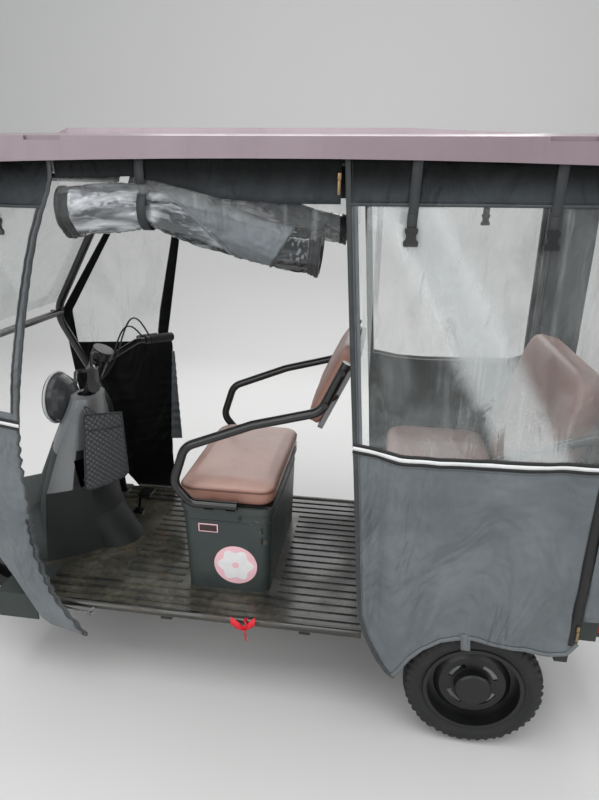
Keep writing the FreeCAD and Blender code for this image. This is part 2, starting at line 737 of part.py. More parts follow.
# Middle line of the rolled-up door curtain, in the side view
ROLL_LINE = ((-346, 1520), (-118, 1532), (60, 1478), (300, 1428))
# Windows, in the side view
REAR_WINDOW = ((372, 1540, 18), (402, 975, 18), (curtain_zip_x - 40, 975, 18),
               (curtain_zip_x - 40, 1540, 18))
FRONT_WINDOW = ((-436, 1520, 15), (-496, 1372), (-541, 1219), (-590, 990, 15), (-820, 990, 15), (-846, 1098),
                (-590, 1520, 15))


def turned(shape, side):
    """Front curtain pieces, turned in plan towards the pillar on their own side."""
    shape.rotate(V(front_edge_x, -side_curtain_y, 0), Z_AXIS, -front_curtain_turn)
    return mirrored(shape) if side > 0 else shape


def front_curtain(side):
    """Curtain between the front pillar and the door opening, with its window cut out."""
    low, high = -side_curtain_y - cloth / 2, -side_curtain_y + cloth / 2
    body = plate(FRONT_EDGES[side] + FRONT_OUTER, low, high).cut(plate(FRONT_WINDOW, low - 5, high + 5))
    return turned(body, side)


def front_window(side):
    """Clear pane of a front curtain."""
    body = plate(FRONT_WINDOW, -side_curtain_y - 1.5, -side_curtain_y + 1.5)
    return turned(body, side)


def rear_curtain(side):
    """Curtain beside the bench, cut out over the rear wheel, with its window cut out."""
    low, high = -side_curtain_y - cloth / 2, -side_curtain_y + cloth / 2
    body = plate(REAR_OUTLINE, low, high).cut(plate(REAR_WINDOW, low - 5, high + 5))
    return mirrored(body) if side > 0 else body


def rear_window(side):
    """Clear pane of a rear side curtain."""
    body = plate(REAR_WINDOW, -side_curtain_y - 1.5, -side_curtain_y + 1.5)
    return mirrored(body) if side > 0 else body


back_low_z, back_window = 500.0, (300.0, 1000.0, 1500.0)


def back_curtain():
    """Curtain across the back that wraps round both rear corners up to the zips."""
    start, turn, half = curtain_zip_x - 200, 60, cloth / 2
    outer = round_rectangle(start, rear_corner_x + half, side_curtain_y + half, turn, back_low_z)
    inner = round_rectangle(start, rear_corner_x - half, side_curtain_y - half, turn - cloth, back_low_z)
    body = Part.Face(outer).cut(Part.Face(inner)).extrude(V(0, 0, back_top_z - back_low_z))
    body = body.cut(block(curtain_zip_x - 400, curtain_zip_x + seat_gap, -600, 600, 0, 2000))
    half, low, high = back_window
    body = body.cut(block(rear_corner_x - 30, rear_corner_x + 30, -half, half, low, high))
    return largest(body)


def back_pane():
    """Clear pane in the back curtain."""
    half, low, high = back_window
    return block(rear_corner_x - 1.5, rear_corner_x + 1.5, -half, half, low, high)


def door_roll(side):
    """Rolled-up door curtain, hanging in a shallow sag below its own band under the roof's edge."""
    y = -side_curtain_y - cloth / 2 + roll_radius
    roll = bent_tube([(x, y, z) for x, z in ROLL_LINE], roll_radius, (300, 300))
    edge = ((ROLL_LINE[-1][0], curtain_top_z), (ROLL_LINE[0][0], curtain_top_z))
    band = plate(ROLL_LINE + edge, -side_curtain_y - cloth / 2 + 0.5, -side_curtain_y + cloth / 2)
    whole = fuse([roll, band])
    return mirrored(whole) if side > 0 else whole


def seat_bucket():
    """Open storage bucket under the driver's seat, with a rolled collar."""
    x0, x1 = bucket_front_x, bucket_front_x + bucket_length
    z0, z1 = floor_top + seat_gap, floor_top + bucket_height
    body = loft([round_rectangle(x0 + 8, x1 - 8, bucket_half_width - 8, 34, z0),
                 round_rectangle(x0, x1, bucket_half_width, 34, z1 - 22)])
    collar = loft([round_rectangle(x0 - 6, x1 + 6, bucket_half_width + 6, 38, z1 - 22),
                   round_rectangle(x0 - 6, x1 + 6, bucket_half_width + 6, 38, z1)])
    hollow = loft([
        round_rectangle(x0 + 8 + bucket_wall, x1 - 8 - bucket_wall, bucket_half_width - 8 - bucket_wall, 30,
                        z0 + bucket_wall),
        round_rectangle(x0 + bucket_wall, x1 - bucket_wall, bucket_half_width - bucket_wall, 30, z1 + 1),
    ])
    return fuse([body, collar]).cut(hollow)


seat_plate_z = floor_top + bucket_height + seat_gap
cushion_z = seat_plate_z + seat_plate + seat_gap
SEAT_TABS = (-70.0, 0.0)    # stations of the plate's tabs under the tubes


def driver_plate():
    """Steel plate under the driver's cushion, which closes the bucket."""
    x0, x1 = bucket_front_x, bucket_front_x + bucket_length
    half = bucket_half_width - 6
    parts = [block(x0 - 4, x1 + 4, -half, half, seat_plate_z, seat_plate_z + seat_plate)]
    for x in SEAT_TABS:
        reach = seat_tube_y + 8
        parts.append(block(x - 14, x + 14, -reach, reach, seat_plate_z, seat_plate_z + seat_plate))
    return fuse(parts)


def driver_cushion():
    """Driver's seat cushion."""
    x0, x1 = bucket_front_x - cushion_overhang, bucket_front_x + bucket_length + cushion_overhang
    body = loft([
        round_rectangle(x0, x1, bucket_half_width - 10, 40, cushion_z),
        round_rectangle(x0 - 2, x1 + 2, bucket_half_width - 6, 44, cushion_z + cushion_height * 0.5),
        round_rectangle(x0 + 14, x1 - 14, bucket_half_width - 26, 40, cushion_z + cushion_height),
    ])
    return body


def back_point(along, out):
    """Point of the driver's backrest: along its height from the foot, and out behind its front plane."""
    t = math.radians(driver_back_lean)
    return (driver_back_foot[0] + along * math.sin(t) + out * math.cos(t),
            driver_back_foot[1] + along * math.cos(t) - out * math.sin(t))


def driver_tubes():
    """Armrest and backrest tubes on both sides of the driver's seat, with brackets to the backrest."""
    z = seat_plate_z + seat_plate + seat_gap + seat_tube_radius
    low_x, low_z = back_point(92, 24)
    top_x, top_z = back_point(driver_back_height - 12, 24)
    inner = driver_back_half_width + seat_gap
    parts = []
    for y in (-seat_tube_y, seat_tube_y):
        points = [(22, y, z), (-128, y, z), (-180, y, 712), (-138, y, 838), (75, y, 924), (low_x, y, low_z),
                  (top_x, y, top_z)]
        parts.append(bent_tube(points, seat_tube_radius, (42, 50, 60, 150, 60)))
        for along in (120, driver_back_height - 40):
            x, height = back_point(along, 24)
            shell_x, shell_z = back_point(along, driver_back_pad + driver_back_shell / 2)
            parts.append(rod((x, y, height), (shell_x, math.copysign(inner - 5, y), shell_z), 7))
            # The bracket's bolt head on the tube's outer side
            parts.append(rod((x, y, height), (x, y + math.copysign(seat_tube_radius + 5, y), height), 9))
    whole = fuse(parts)
    return whole.cut(block(-500, 900, -inner, inner, 0, 2000))


def leaning_pad(foot, lean, height, half_width, front, back, corner):
    """Backrest with round upper corners that leans back from its foot, between two offsets from its front."""
    t = math.radians(lean)
    up, out = V(math.sin(t), 0, math.cos(t)), V(math.cos(t), 0, -math.sin(t))
    face = outline_face([(-half_width, 0, 20), (half_width, 0, 20), (half_width, height, corner),
                         (-half_width, height, corner)])
    slab = face.extrude(V(0, front - back, 0))
    base = V(foot[0], 0, foot[1]) + out * front
    # Width runs along Y, height along the lean, and thickness back from the front
    turn = FreeCAD.Matrix(0, -out.x, up.x, base.x, 1, 0, 0, 0, 0, -out.z, up.z, base.z, 0, 0, 0, 1)
    slab.Placement = FreeCAD.Placement(turn)
    return slab


def bench_base():
    """Open-topped box that carries the bench and holds the battery."""
    z0 = rear_rail_top + seat_gap
    x0, x1 = bench_front_x, bench_front_x + bench_depth
    outer = block(x0, x1, -bench_half_width, bench_half_width, z0, z0 + bench_base_height)
    inner = bench_half_width - bench_wall
    hollow = block(x0 + bench_wall, x1 - bench_wall, -inner, inner, z0 + bench_wall,
                   z0 + bench_base_height + 1)
    return outer.cut(hollow)


def battery():
    """Battery pack as one block on the floor of the bench box."""
    length, width, height = battery_size
    x0 = bench_front_x + (bench_depth - length) / 2
    z0 = rear_rail_top + seat_gap + bench_wall + seat_gap
    return block(x0, x0 + length, -width / 2, width / 2, z0, z0 + height)


def bench_plate():
    """Board under the bench cushion."""
    rear_x = bench_front_x + bench_depth - 10
    return block(bench_front_x, rear_x, -bench_half_width, bench_half_width, bench_plate_z,
                 bench_plate_z + seat_plate)


def bench_cushion():
    """Passenger bench cushion."""
    z = bench_plate_z + seat_plate + seat_gap
    x0, x1 = bench_front_x - 12, bench_back_foot_x - lid_gap
    return loft([
        round_rectangle(x0, x1, bench_half_width, 40, z),
        round_rectangle(x0 - 4, x1, bench_half_width + 4, 44, z + bench_cushion_height * 0.5),
        round_rectangle(x0 + 14, x1 - 14, bench_half_width - 14, 40, z + bench_cushion_height),
    ])


def bench_back():
    """Passenger backrest, leaning on the bar between the rear posts."""
    return leaning_pad((bench_back_foot_x, bench_back_foot_z), bench_back_lean, bench_back_height,
                       bench_back_half_width, 0, bench_back_pad, bench_back_corner)


def bench_arm(side):
    """Bent tube beside the bench, from the box up and back to the rear post."""
    y = side * rear_post_y
    arm = bent_tube([(712, y, 560), (728, y, 890), (790, y, 925), (rear_post_x, y, 996)], 13, (60, 60))
    foot = rod((712, y, 572), (712, side * (bench_half_width + seat_gap), 572), 11)
    post = rod((rear_post_x, y, 400), (rear_post_x, y, 1400), tube_radius - 1 + seat_gap)
    return largest(fuse([arm, foot]).cut(post))


def rear_axle():
    """Axle tube with the motor and its gear housing at the middle, and a stub shaft at each end."""
    parts = [
        rod((rear_axle_x, -axle_half_length, axle_z), (rear_axle_x, axle_half_length, axle_z), axle_radius),
        rod((rear_axle_x, -wheel_y - 8, axle_z), (rear_axle_x, wheel_y + 8, axle_z), rear_shaft_radius),
        rod((rear_axle_x, -motor_length / 2, axle_z), (rear_axle_x, motor_length / 2, axle_z), motor_radius),
        rod((rear_axle_x + gear_offset, motor_length / 2, axle_z),
            (rear_axle_x + gear_offset, motor_length / 2 + gear_length, axle_z), gear_radius),
    ]
    return fuse(parts)


def leaf_spring(side):
    """Stack of leaves over the axle tube, with an eye at each end under the rail."""
    y0, y1 = side * rail_half_track - spring_width / 2, side * rail_half_track + spring_width / 2
    low = axle_z + axle_radius + seat_gap
    eye_z = rear_rail_top - rail_height - 16
    outline = [
        (rear_axle_x - spring_reach, eye_z - 6), (rear_axle_x - 60, low), (rear_axle_x + 60, low),
        (rear_axle_x + spring_reach, eye_z - 6), (rear_axle_x + spring_reach, eye_z + 4),
        (rear_axle_x + 60, low + 24), (rear_axle_x - 60, low + 24), (rear_axle_x - spring_reach, eye_z + 4),
    ]
    parts = [plate(outline, y0, y1)]
    for x in (rear_axle_x - spring_reach, rear_axle_x + spring_reach):
        parts.append(rod((x, y0, eye_z), (x, y1, eye_z), 16 - seat_gap))
    return fuse(parts)


def rear_body():
    """Tail panel behind the bench box, open towards it."""
    z0 = rear_rail_top + seat_gap
    x0 = rear_post_x + 26
    outer = block(x0, tail_rear_x, -tail_half_width, tail_half_width, z0, tail_top_z)
    inner = tail_half_width - tail_wall
    hollow = block(x0 - 1, tail_rear_x - tail_wall, -inner, inner, z0 + tail_wall, tail_top_z - tail_wall)
    body = outer.cut(hollow)
    for y in (-plate_hole_pitch / 2, plate_hole_pitch / 2):
        hole = rod((tail_rear_x - 20, y, plate_hole_z), (tail_rear_x + 5, y, plate_hole_z), plate_hole_radius)
        body = body.cut(hole)
    return body


def bumper():
    """Bent tube round the tail, carried on the chassis rails."""
    points = [(rail_rear_x + seat_gap, -rail_half_track, bumper_z), (bumper_x, -rail_half_track, bumper_z),
              (bumper_x, rail_half_track, bumper_z), (rail_rear_x + seat_gap, rail_half_track, bumper_z)]
    return bent_tube(points, bumper_radius, (50, 50))


def tail_lamp(side):
    """Rectangular lamp on the tail panel."""
    y = side * (tail_half_width - 60)
    low, high = rear_rail_top + 20, rear_rail_top + 85
    return block(tail_rear_x + seat_gap, tail_rear_x + 14, y - 45, y + 45, low, high)


def brake_pedal():
    """Foot brake pedal on its arm, to the right of the column cover."""
    foot = block(-540, -500, 158, 188, floor_top + seat_gap, floor_top + seat_gap + 8)
    arm = bent_tube([(-520, 173, floor_top + 5), (-508, 173, 380), (-470, 146, 420)], 6, (20,))
    pad = block(-488, -440, 108, 168, 416, 428)
    return fuse([foot, arm, pad])


def fork():
    """Steering stem, crown under the head tube, two legs and the wheel spindle."""
    top_z, low_z = head_tube_low_z - 4, crown_z
    yoke_x, yoke_z, yoke_half = axis_x(crown_z) - 4, crown_z - 6, fork_half_track + fork_leg_radius + 2
    parts = [rod((axis_x(low_z), 0, low_z), (axis_x(top_z), 0, top_z), collar_radius),
             rod((yoke_x, -yoke_half, yoke_z), (yoke_x, yoke_half, yoke_z), yoke_radius)]
    for y in (-fork_half_track, fork_half_track):
        parts.append(rod((yoke_x, y, yoke_z), (front_axle_x, y, axle_z), fork_leg_radius))
        parts.append(rod((front_axle_x, y - fork_leg_radius - 2, axle_z),
                         (front_axle_x, y + fork_leg_radius + 2, axle_z), 22))
    parts.append(rod((front_axle_x, -fork_half_track, axle_z), (front_axle_x, fork_half_track, axle_z),
                     front_spindle_radius))
    parts.append(rod((axis_x(crown_z), 0, crown_z), (axis_x(bar_centre_z), 0, bar_centre_z), stem_radius))
    return fuse(parts)


def front_fender():
    """Mudguard that follows the tyre, held between the fork legs."""
    inside = tyre_radius + fender_gap
    ring = Part.makeCylinder(inside + fender_wall, 2 * fender_half_width, V(0, -fender_half_width, 0), Y_AXIS)
    ring = ring.cut(Part.makeCylinder(inside, 2 * fender_half_width, V(0, -fender_half_width, 0), Y_AXIS))
    # Kept from just below the front to just above the rear of the wheel
    keep = plate([(0, 0), (-600, -60), (-600, 600), (600, 600), (600, -120)], -200, 200)
    ring = ring.common(keep)
    ring.translate(V(front_axle_x, 0, axle_z))
    lugs = []
    leg_way = V(axis_x(crown_z) - 4 - front_axle_x, 0, crown_z - 6 - axle_z).normalize()
    for side in (-1, 1):
        at = V(front_axle_x, 0, axle_z) + leg_way * (inside + fender_wall / 2)
        y0 = side * (fender_half_width - 4)
        y1 = side * (fork_half_track - fork_leg_radius - seat_gap)
        lugs.append(rod((at.x, y0, at.z), (at.x, y1, at.z), 12))
    return fuse([ring] + lugs)


def bar_points():
    """Path of the handlebar from the left end to the right end."""
    x, z = axis_x(bar_centre_z), bar_centre_z
    return [
        (x + bar_end_back, -bar_end_half, z + bar_rise - bar_end_drop),
        (x + bar_end_back - bar_sweep, -bar_rise_half, z + bar_rise),
        (x + 12, -62, z + 8), (x + 12, 62, z + 8),
        (x + bar_end_back - bar_sweep, bar_rise_half, z + bar_rise),
        (x + bar_end_back, bar_end_half, z + bar_rise - bar_end_drop),
    ]


def handlebar():
    """Bent bar with a clamp on the stem."""
    bar = bent_tube(bar_points(), bar_radius, (60, 40, 40, 60))
    x, z = axis_x(bar_centre_z), bar_centre_z
    clamp = rod((axis_x(z - 26), 0, z - 26), (axis_x(z + 24), 0, z + 24), 30)
    whole = fuse([bar, clamp])
    return whole.cut(rod((axis_x(z - 60), 0, z - 60), (x, 0, z), stem_radius + seat_gap))


def grip(side):
    """Rubber grip closed at its outer end."""
    points = bar_points()
    end, before = (V(*points[0]), V(*points[1])) if side < 0 else (V(*points[-1]), V(*points[-2]))
    way = (end - before).normalize()
    sleeve = Part.makeCylinder(grip_radius, grip_length, end + way * 8, way * -1)
    return sleeve.cut(Part.makeCylinder(bar_radius + seat_gap, grip_length, end + way * seat_gap, way * -1))


def lever(side):
    """Brake lever with its perch inside the grip."""
    points = bar_points()
    end, before = (V(*points[0]), V(*points[1])) if side < 0 else (V(*points[-1]), V(*points[-2]))
    way = (end - before).normalize()
    seat = end - way * (grip_length - 6)
    middle = seat - way * 9
    perch = Part.makeCylinder(perch_radius, 18, seat, way * -1)
    ahead = V(-1, 0, 0.12).normalize()
    elbow, tip = middle + ahead * 56, end + way * 4 + ahead * 58
    blade = bent_tube([tuple(middle + ahead * 4), tuple(elbow), tuple(tip)], lever_radius, (22,))
    whole = fuse([perch, blade])
    return largest(whole.cut(Part.makeCylinder(bar_radius + seat_gap, 60, seat + way * 20, way * -1)))


def instrument():
    """Round instrument on top of the handlebar clamp."""
    low = bar_centre_z + 24 + seat_gap
    return fuse([rod((axis_x(low), 0, low), (axis_x(low + 10), 0, low + 10), 20),
                 rod((axis_x(low + 9), 0, low + 9), (axis_x(low + 38), 0, low + 38), 36)])


def write(name, shape):
    """Write one piece, checked to be a valid closed solid."""
    solids = shape.Solids
    print(name, len(solids), "valid" if shape.isValid() else "INVALID", round(shape.Volume / 1000.0, 1))
    if len(solids) == 1:
        shape = solids[0]
    shape.exportStep("parts/" + name + ".step")


def build():
    """All pieces by node name."""
    pieces = {
        "chassis_frame": chassis_frame(),
        "floor_pan": floor_pan(),
        "front_cowl": front_cowl(),
        "inner_shield": inner_shield(),
        "headlamp_shell": headlamp_shell(),
        "headlamp_lens": headlamp_lens(),
        "roof_panel": roof_panel(),
        "roof_frame": roof_frame(),
        "windscreen_frame": windscreen_frame(),
        "windscreen": windscreen(),
        "back_curtain": back_curtain(),
        "back_window": back_pane(),
        "seat_bucket": seat_bucket(),
        "driver_plate": driver_plate(),
        "driver_cushion": driver_cushion(),
        "driver_tubes": driver_tubes(),
        "driver_back_pad": leaning_pad(driver_back_foot, driver_back_lean, driver_back_height,
                                       driver_back_half_width, 0, driver_back_pad, driver_back_corner),
        "driver_back_shell": leaning_pad(driver_back_foot, driver_back_lean, driver_back_height,
                                         driver_back_half_width, driver_back_pad + seat_gap,
                                         driver_back_pad + driver_back_shell, driver_back_corner),
        "bench_base": bench_base(),
        "battery": battery(),
        "bench_plate": bench_plate(),
        "bench_cushion": bench_cushion(),
        "bench_back": bench_back(),
        "rear_axle": rear_axle(),
        "rear_body": rear_body(),
        "rear_bumper": bumper(),
        "brake_pedal": brake_pedal(),
        "fork": fork(),
        "front_fender": front_fender(),
        "handlebar": handlebar(),
        "instrument": instrument(),
        "tyre_front": tyre(front_axle_x, 0),
        "rim_front": rim(front_axle_x, 0, -1, front_spindle_radius),
    }
    pairs = {
        "side_sills": side_sill, "front_curtains": front_curtain, "front_windows": front_window,
        "rear_curtains": rear_curtain, "rear_windows": rear_window, "door_rolls": door_roll,
        "bench_arms": bench_arm, "leaf_springs": leaf_spring, "tail_lamps": tail_lamp, "grips": grip,
        "brake_levers": lever,
    }
    for name, make in pairs.items():
        pieces[name] = Part.makeCompound([make(side) for side in (-1, 1)])
    for name, side in (("left", -1), ("right", 1)):
        pieces["tyre_rear_" + name] = tyre(rear_axle_x, side * wheel_y)
        pieces["rim_rear_" + name] = rim(rear_axle_x, side * wheel_y, side, rear_shaft_radius)
    return pieces


os.makedirs("parts", exist_ok=True)
for piece_name, piece in build().items():
    write(piece_name, piece)
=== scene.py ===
"""Finishes and soft goods of an electric passenger tricycle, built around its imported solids.

Frame: +X towards the rear, +Y to the vehicle's right, +Z up, metres, floor at z = 0.
"""

import json
import logging
import math
from contextlib import contextmanager
from dataclasses import dataclass, field
from enum import Enum
from itertools import product
from typing import Callable, Iterator, Sequence

import bmesh
import bpy
import numpy as np
from mathutils import Matrix, Vector, noise
from mathutils.bvhtree import BVHTree

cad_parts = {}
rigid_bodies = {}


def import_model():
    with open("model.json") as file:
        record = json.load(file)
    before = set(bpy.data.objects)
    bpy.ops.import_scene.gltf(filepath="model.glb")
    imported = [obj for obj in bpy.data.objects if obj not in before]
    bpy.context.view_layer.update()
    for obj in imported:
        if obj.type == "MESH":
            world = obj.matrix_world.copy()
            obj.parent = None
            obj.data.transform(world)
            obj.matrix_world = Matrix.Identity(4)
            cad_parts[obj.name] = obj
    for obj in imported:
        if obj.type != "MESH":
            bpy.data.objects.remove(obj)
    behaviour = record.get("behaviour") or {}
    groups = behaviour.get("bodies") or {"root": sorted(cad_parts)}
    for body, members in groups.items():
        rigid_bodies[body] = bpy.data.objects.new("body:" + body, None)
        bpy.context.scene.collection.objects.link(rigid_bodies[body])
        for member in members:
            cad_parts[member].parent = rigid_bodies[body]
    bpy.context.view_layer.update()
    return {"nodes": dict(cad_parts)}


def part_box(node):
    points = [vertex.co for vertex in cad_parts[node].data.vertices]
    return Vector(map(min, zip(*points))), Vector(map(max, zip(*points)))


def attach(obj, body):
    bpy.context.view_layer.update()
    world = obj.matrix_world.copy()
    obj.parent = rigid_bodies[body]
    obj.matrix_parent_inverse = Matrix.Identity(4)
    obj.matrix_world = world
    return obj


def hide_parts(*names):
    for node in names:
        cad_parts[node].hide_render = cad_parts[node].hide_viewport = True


LOG = logging.getLogger("tricycle")
IMAGE_HEIGHT = 800          # of the photograph, in pixels
Colour = tuple[float, float, float]
Point = tuple[float, float, float]


# ---------------------------------------------------------------- shader graphs

def operator(operation: str, swapped: bool = False) -> Callable:
    """Method of a socket that adds one Math node.

    Args:
        operation: Math node operation.
        swapped: whether the other operand comes first, as in a reflected form.

    Returns:
        The method.
    """
    def method(self: "Sock", other: object = 0.0) -> "Sock":
        """The Math node's result."""
        first, second = (other, self) if swapped else (self, other)
        return self.graph.node("ShaderNodeMath", {"operation": operation}, {0: first, 1: second})
    return method


class Sock:
    """One shader socket that takes part in arithmetic."""

    def __init__(self, graph: "Graph", socket: bpy.types.NodeSocket) -> None:
        """Keeps the graph and the socket."""
        self.graph, self.socket = graph, socket

    __add__ = __radd__ = operator("ADD")
    __sub__, __rsub__ = operator("SUBTRACT"), operator("SUBTRACT", swapped=True)
    __mul__ = __rmul__ = operator("MULTIPLY")
    peak, least = operator("MAXIMUM"), operator("MINIMUM")
    wave, size = operator("SINE"), operator("ABSOLUTE")


class Graph:
    """Node tree of one material."""

    def __init__(self, name: str) -> None:
        """Makes an empty material of that name."""
        self.material = bpy.data.materials.new(name)
        self.material.use_nodes = True
        self.tree = self.material.node_tree
        self.tree.nodes.clear()
        coordinate = self.tree.nodes.new("ShaderNodeTexCoord")
        self.place = Sock(self, coordinate.outputs["Object"])
        self.facing = Sock(self, coordinate.outputs["Normal"])

    def node(self, kind: str, settings: dict, inputs: dict, output: object = 0) -> Sock:
        """Adds a node.

        Args:
            kind: node type.
            settings: attributes set before its sockets.
            inputs: values or Socks by socket name or index.
            output: name or index of the result.

        Returns:
            The chosen output.
        """
        made = self.tree.nodes.new(kind)
        for key, value in settings.items():
            setattr(made, key, value)
        for key, value in inputs.items():
            socket = made.inputs[key]
            if isinstance(value, Sock):
                self.tree.links.new(value.socket, socket)
            elif isinstance(value, tuple) and len(value) == 3 and socket.type == "RGBA":
                socket.default_value = (*value, 1.0)
            else:
                socket.default_value = value
        return Sock(self, made.outputs[output])

    def axis(self, name: str, source: Sock | None = None) -> Sock:
        """One component of a vector, of the object's place where none is given."""
        return self.node("ShaderNodeSeparateXYZ", {}, {0: source or self.place}, name)

    def stretched(self, scale: Point) -> Sock:
        """The place scaled along each axis."""
        return self.node("ShaderNodeMapping", {}, {"Vector": self.place, "Scale": scale})

    def noise(self, scale: float, detail: float = 3.0, where: Sock | None = None, rough: float = 0.5,
              warp: float = 0.0) -> Sock:
        """Fractal noise between 0 and 1."""
        return self.node("ShaderNodeTexNoise", {}, {
            "Vector": where or self.place, "Scale": scale, "Detail": detail, "Roughness": rough,
            "Distortion": warp})

    def cells(self, scale: float, feature: str = "F1") -> Sock:
        """Distance to the nearest of many scattered points."""
        return self.node("ShaderNodeTexVoronoi", {"feature": feature}, {
            "Vector": self.place, "Scale": scale}, "Distance")

    def step(self, value: Sock, low: float, high: float) -> Sock:
        """Smooth step of a value from 0 at low to 1 at high."""
        return self.node("ShaderNodeMapRange", {"interpolation_type": "SMOOTHSTEP"}, {
            "Value": value, "From Min": low, "From Max": high})

    def mix(self, factor: object, first: object, second: object) -> Sock:
        """Colour between two."""
        return self.node("ShaderNodeMix", {"data_type": "RGBA"}, {0: factor, 6: first, 7: second}, 2)

    def stain(self, colour: object, field: Sock, low: float, high: float, share: object,
              over: object) -> Sock:
        """Lays a share of another colour over this one where a field rises from low to high."""
        return self.mix(self.step(field, low, high) * share, colour, over)

    def relief(self, *layers: tuple[Sock, float, float]) -> Sock:
        """Normal raised by layers, each a height with its strength and distance."""
        normal = None
        for height, strength, distance in layers:
            inputs = {"Height": height, "Strength": strength, "Distance": distance}
            if normal is not None:
                inputs["Normal"] = normal
            normal = self.node("ShaderNodeBump", {}, inputs)
        return normal

    def finish(self, **sockets: object) -> bpy.types.Material:
        """Adds the surface shader.

        Args:
            sockets: Principled inputs, with _ for a space.

        Returns:
            The finished material.
        """
        inputs = {key.replace("_", " "): value for key, value in sockets.items()}
        shader = self.node("ShaderNodeBsdfPrincipled", {}, inputs)
        out = self.tree.nodes.new("ShaderNodeOutputMaterial")
        self.tree.links.new(shader.socket, out.inputs["Surface"])
        return self.material


def linear(red: int, green: int, blue: int) -> Colour:
    """Scene colour of an eight-bit display colour."""
    def channel(value: int) -> float:
        """One channel."""
        part = value / 255
        return part / 12.92 if part <= 0.04045 else ((part + 0.055) / 1.055) ** 2.4
    return channel(red), channel(green), channel(blue)


def dim(colour: Colour, share: float) -> Colour:
    """The same colour at a share of its brightness."""
    return tuple(part * share for part in colour)


# ---------------------------------------------------------------- finishes

@dataclass(frozen=True)
class Surface:
    """A named finish, whose kinds say in dress() what feeds the surface shader."""

    name: str

    def make(self) -> bpy.types.Material:
        """Builds the material."""
        graph = Graph(self.name)
        return graph.finish(**self.dress(graph))


@dataclass(frozen=True)
class MouldedPlastic(Surface):
    """Grained moulding with dust on it and pale scuffs."""

    colour: Colour
    roughness: float = 0.5
    grain: float = 0.15
    dust: float = 0.3
    dust_colour: Colour = linear(120, 116, 108)
    scuffs: float = 0.0

    def dress(self, g: Graph) -> dict[str, object]:
        """Inputs of the surface shader."""
        cloud, speck = g.noise(5.0, 5.0, rough=0.62), g.noise(55.0, 3.0)
        colour = g.stain(self.colour, cloud, 0.42, 0.78, self.dust, self.dust_colour)
        colour = g.stain(colour, speck, 0.3, 0.9, 0.18, dim(self.colour, 0.55))
        if self.scuffs:
            scratch = g.noise(16.0, 5.0, g.stretched((1.0, 1.0, 2.4)), 0.7)
            high = g.step(g.axis("Z"), 0.44, 0.60) * g.step(g.axis("X"), 0.02, 0.11)
            colour = g.mix(g.step(scratch, 0.60, 0.64) * high * self.scuffs, colour, linear(168, 150, 122))
        normal = g.relief((g.noise(900.0, 2.0), self.grain, 0.0004), (g.noise(18.0, 3.0), 0.05, 0.002))
        return {"Base_Color": colour, "Roughness": g.step(cloud, 0.2, 0.8) * 0.22 + (self.roughness - 0.08),
                "Normal": normal, "IOR": 1.46}


@dataclass(frozen=True)
class ColumnPlastic(Surface):
    """Steering column: satin silver panel above, its edge strips, a black recess between them, dark skirt."""

    skirt: Colour = linear(31, 34, 34)
    silver: Colour = linear(146, 149, 151)
    panel_low: float = 0.704
    strip_low: float = 0.566
    recess_low: float = 0.576
    strip: float = 0.034                    # width of an edge strip; none where negative
    edge_at: tuple = (0.205, 0.440)         # half width of the column's side edge at a height
    edge_slope: float = -0.204
    line: float = 0.0015

    def dress(self, g: Graph) -> dict[str, object]:
        """Inputs of the surface shader."""
        y, z = g.axis("Y").size(), g.axis("Z")
        inset = (z - self.edge_at[1]) * self.edge_slope + self.edge_at[0] - y
        silver = g.step(z, self.panel_low - self.line, self.panel_low + self.line)
        dark = self.skirt
        if self.strip > 0:
            strip = (1.0 - g.step(inset, self.strip - self.line, self.strip + self.line)) * g.step(
                z, self.strip_low - self.line, self.strip_low + self.line)
            silver = silver.peak(strip)
            recess = g.step(z, self.recess_low, self.recess_low + 0.004) * (1.0 - silver)
            dark = g.mix(recess, self.skirt, linear(12, 13, 13))
        cloud, fine = g.noise(6.0, 5.0, rough=0.62), g.noise(60.0, 4.0)
        dark = g.stain(dark, cloud, 0.45, 0.8, 0.16, linear(86, 84, 80))
        bright = g.stain(self.silver, cloud, 0.3, 0.8, 0.4, linear(104, 106, 108))
        bright = g.stain(bright, fine, 0.55, 0.85, 0.2, linear(80, 82, 84))
        return {"Base_Color": g.mix(silver, dark, bright),
                "Roughness": g.step(cloud, 0.2, 0.8) * 0.16 + 0.52 - silver * 0.2, "Metallic": silver * 0.35,
                "Normal": g.relief((silver, 0.9, 0.003), (g.noise(700.0, 2.0), 0.25, 0.0004))}


@dataclass(frozen=True)
class QuiltedCloth(Surface):
    """Padded cloth with diamond quilting in one grey, with painted shade in its seams and a painted highlight
    on its puffs.
    """

    colour: Colour = linear(72, 75, 78)
    # colour of the painted highlight on the puffs
    raised: Colour = linear(98, 102, 105)
    pitch: float = 0.020

    def dress(self, g: Graph) -> dict[str, object]:
        """Inputs of the surface shader."""
        z = g.axis("Z")
        across = g.axis("X") * 0.62 + g.axis("Y") * 0.78
        turn = math.pi / self.pitch
        first, second = ((across + z) * turn).wave().size(), ((across - z) * turn).wave().size()
        seam = g.step(first.least(second), 0.0, 0.34)
        weave = (across * 2600.0).wave() * (z * 2600.0).wave()
        # painted shade in the seams, then the painted highlight on the puffs
        colour = g.mix(seam, dim(self.colour, 0.6), self.colour)
        colour = g.mix(g.step(first * second, 0.45, 0.9), colour, self.raised)
        return {"Base_Color": colour, "Roughness": 0.62, "Sheen_Weight": 0.2,
                "Normal": g.relief((seam, 0.8, 0.0035), (weave, 0.15, 0.0003))}


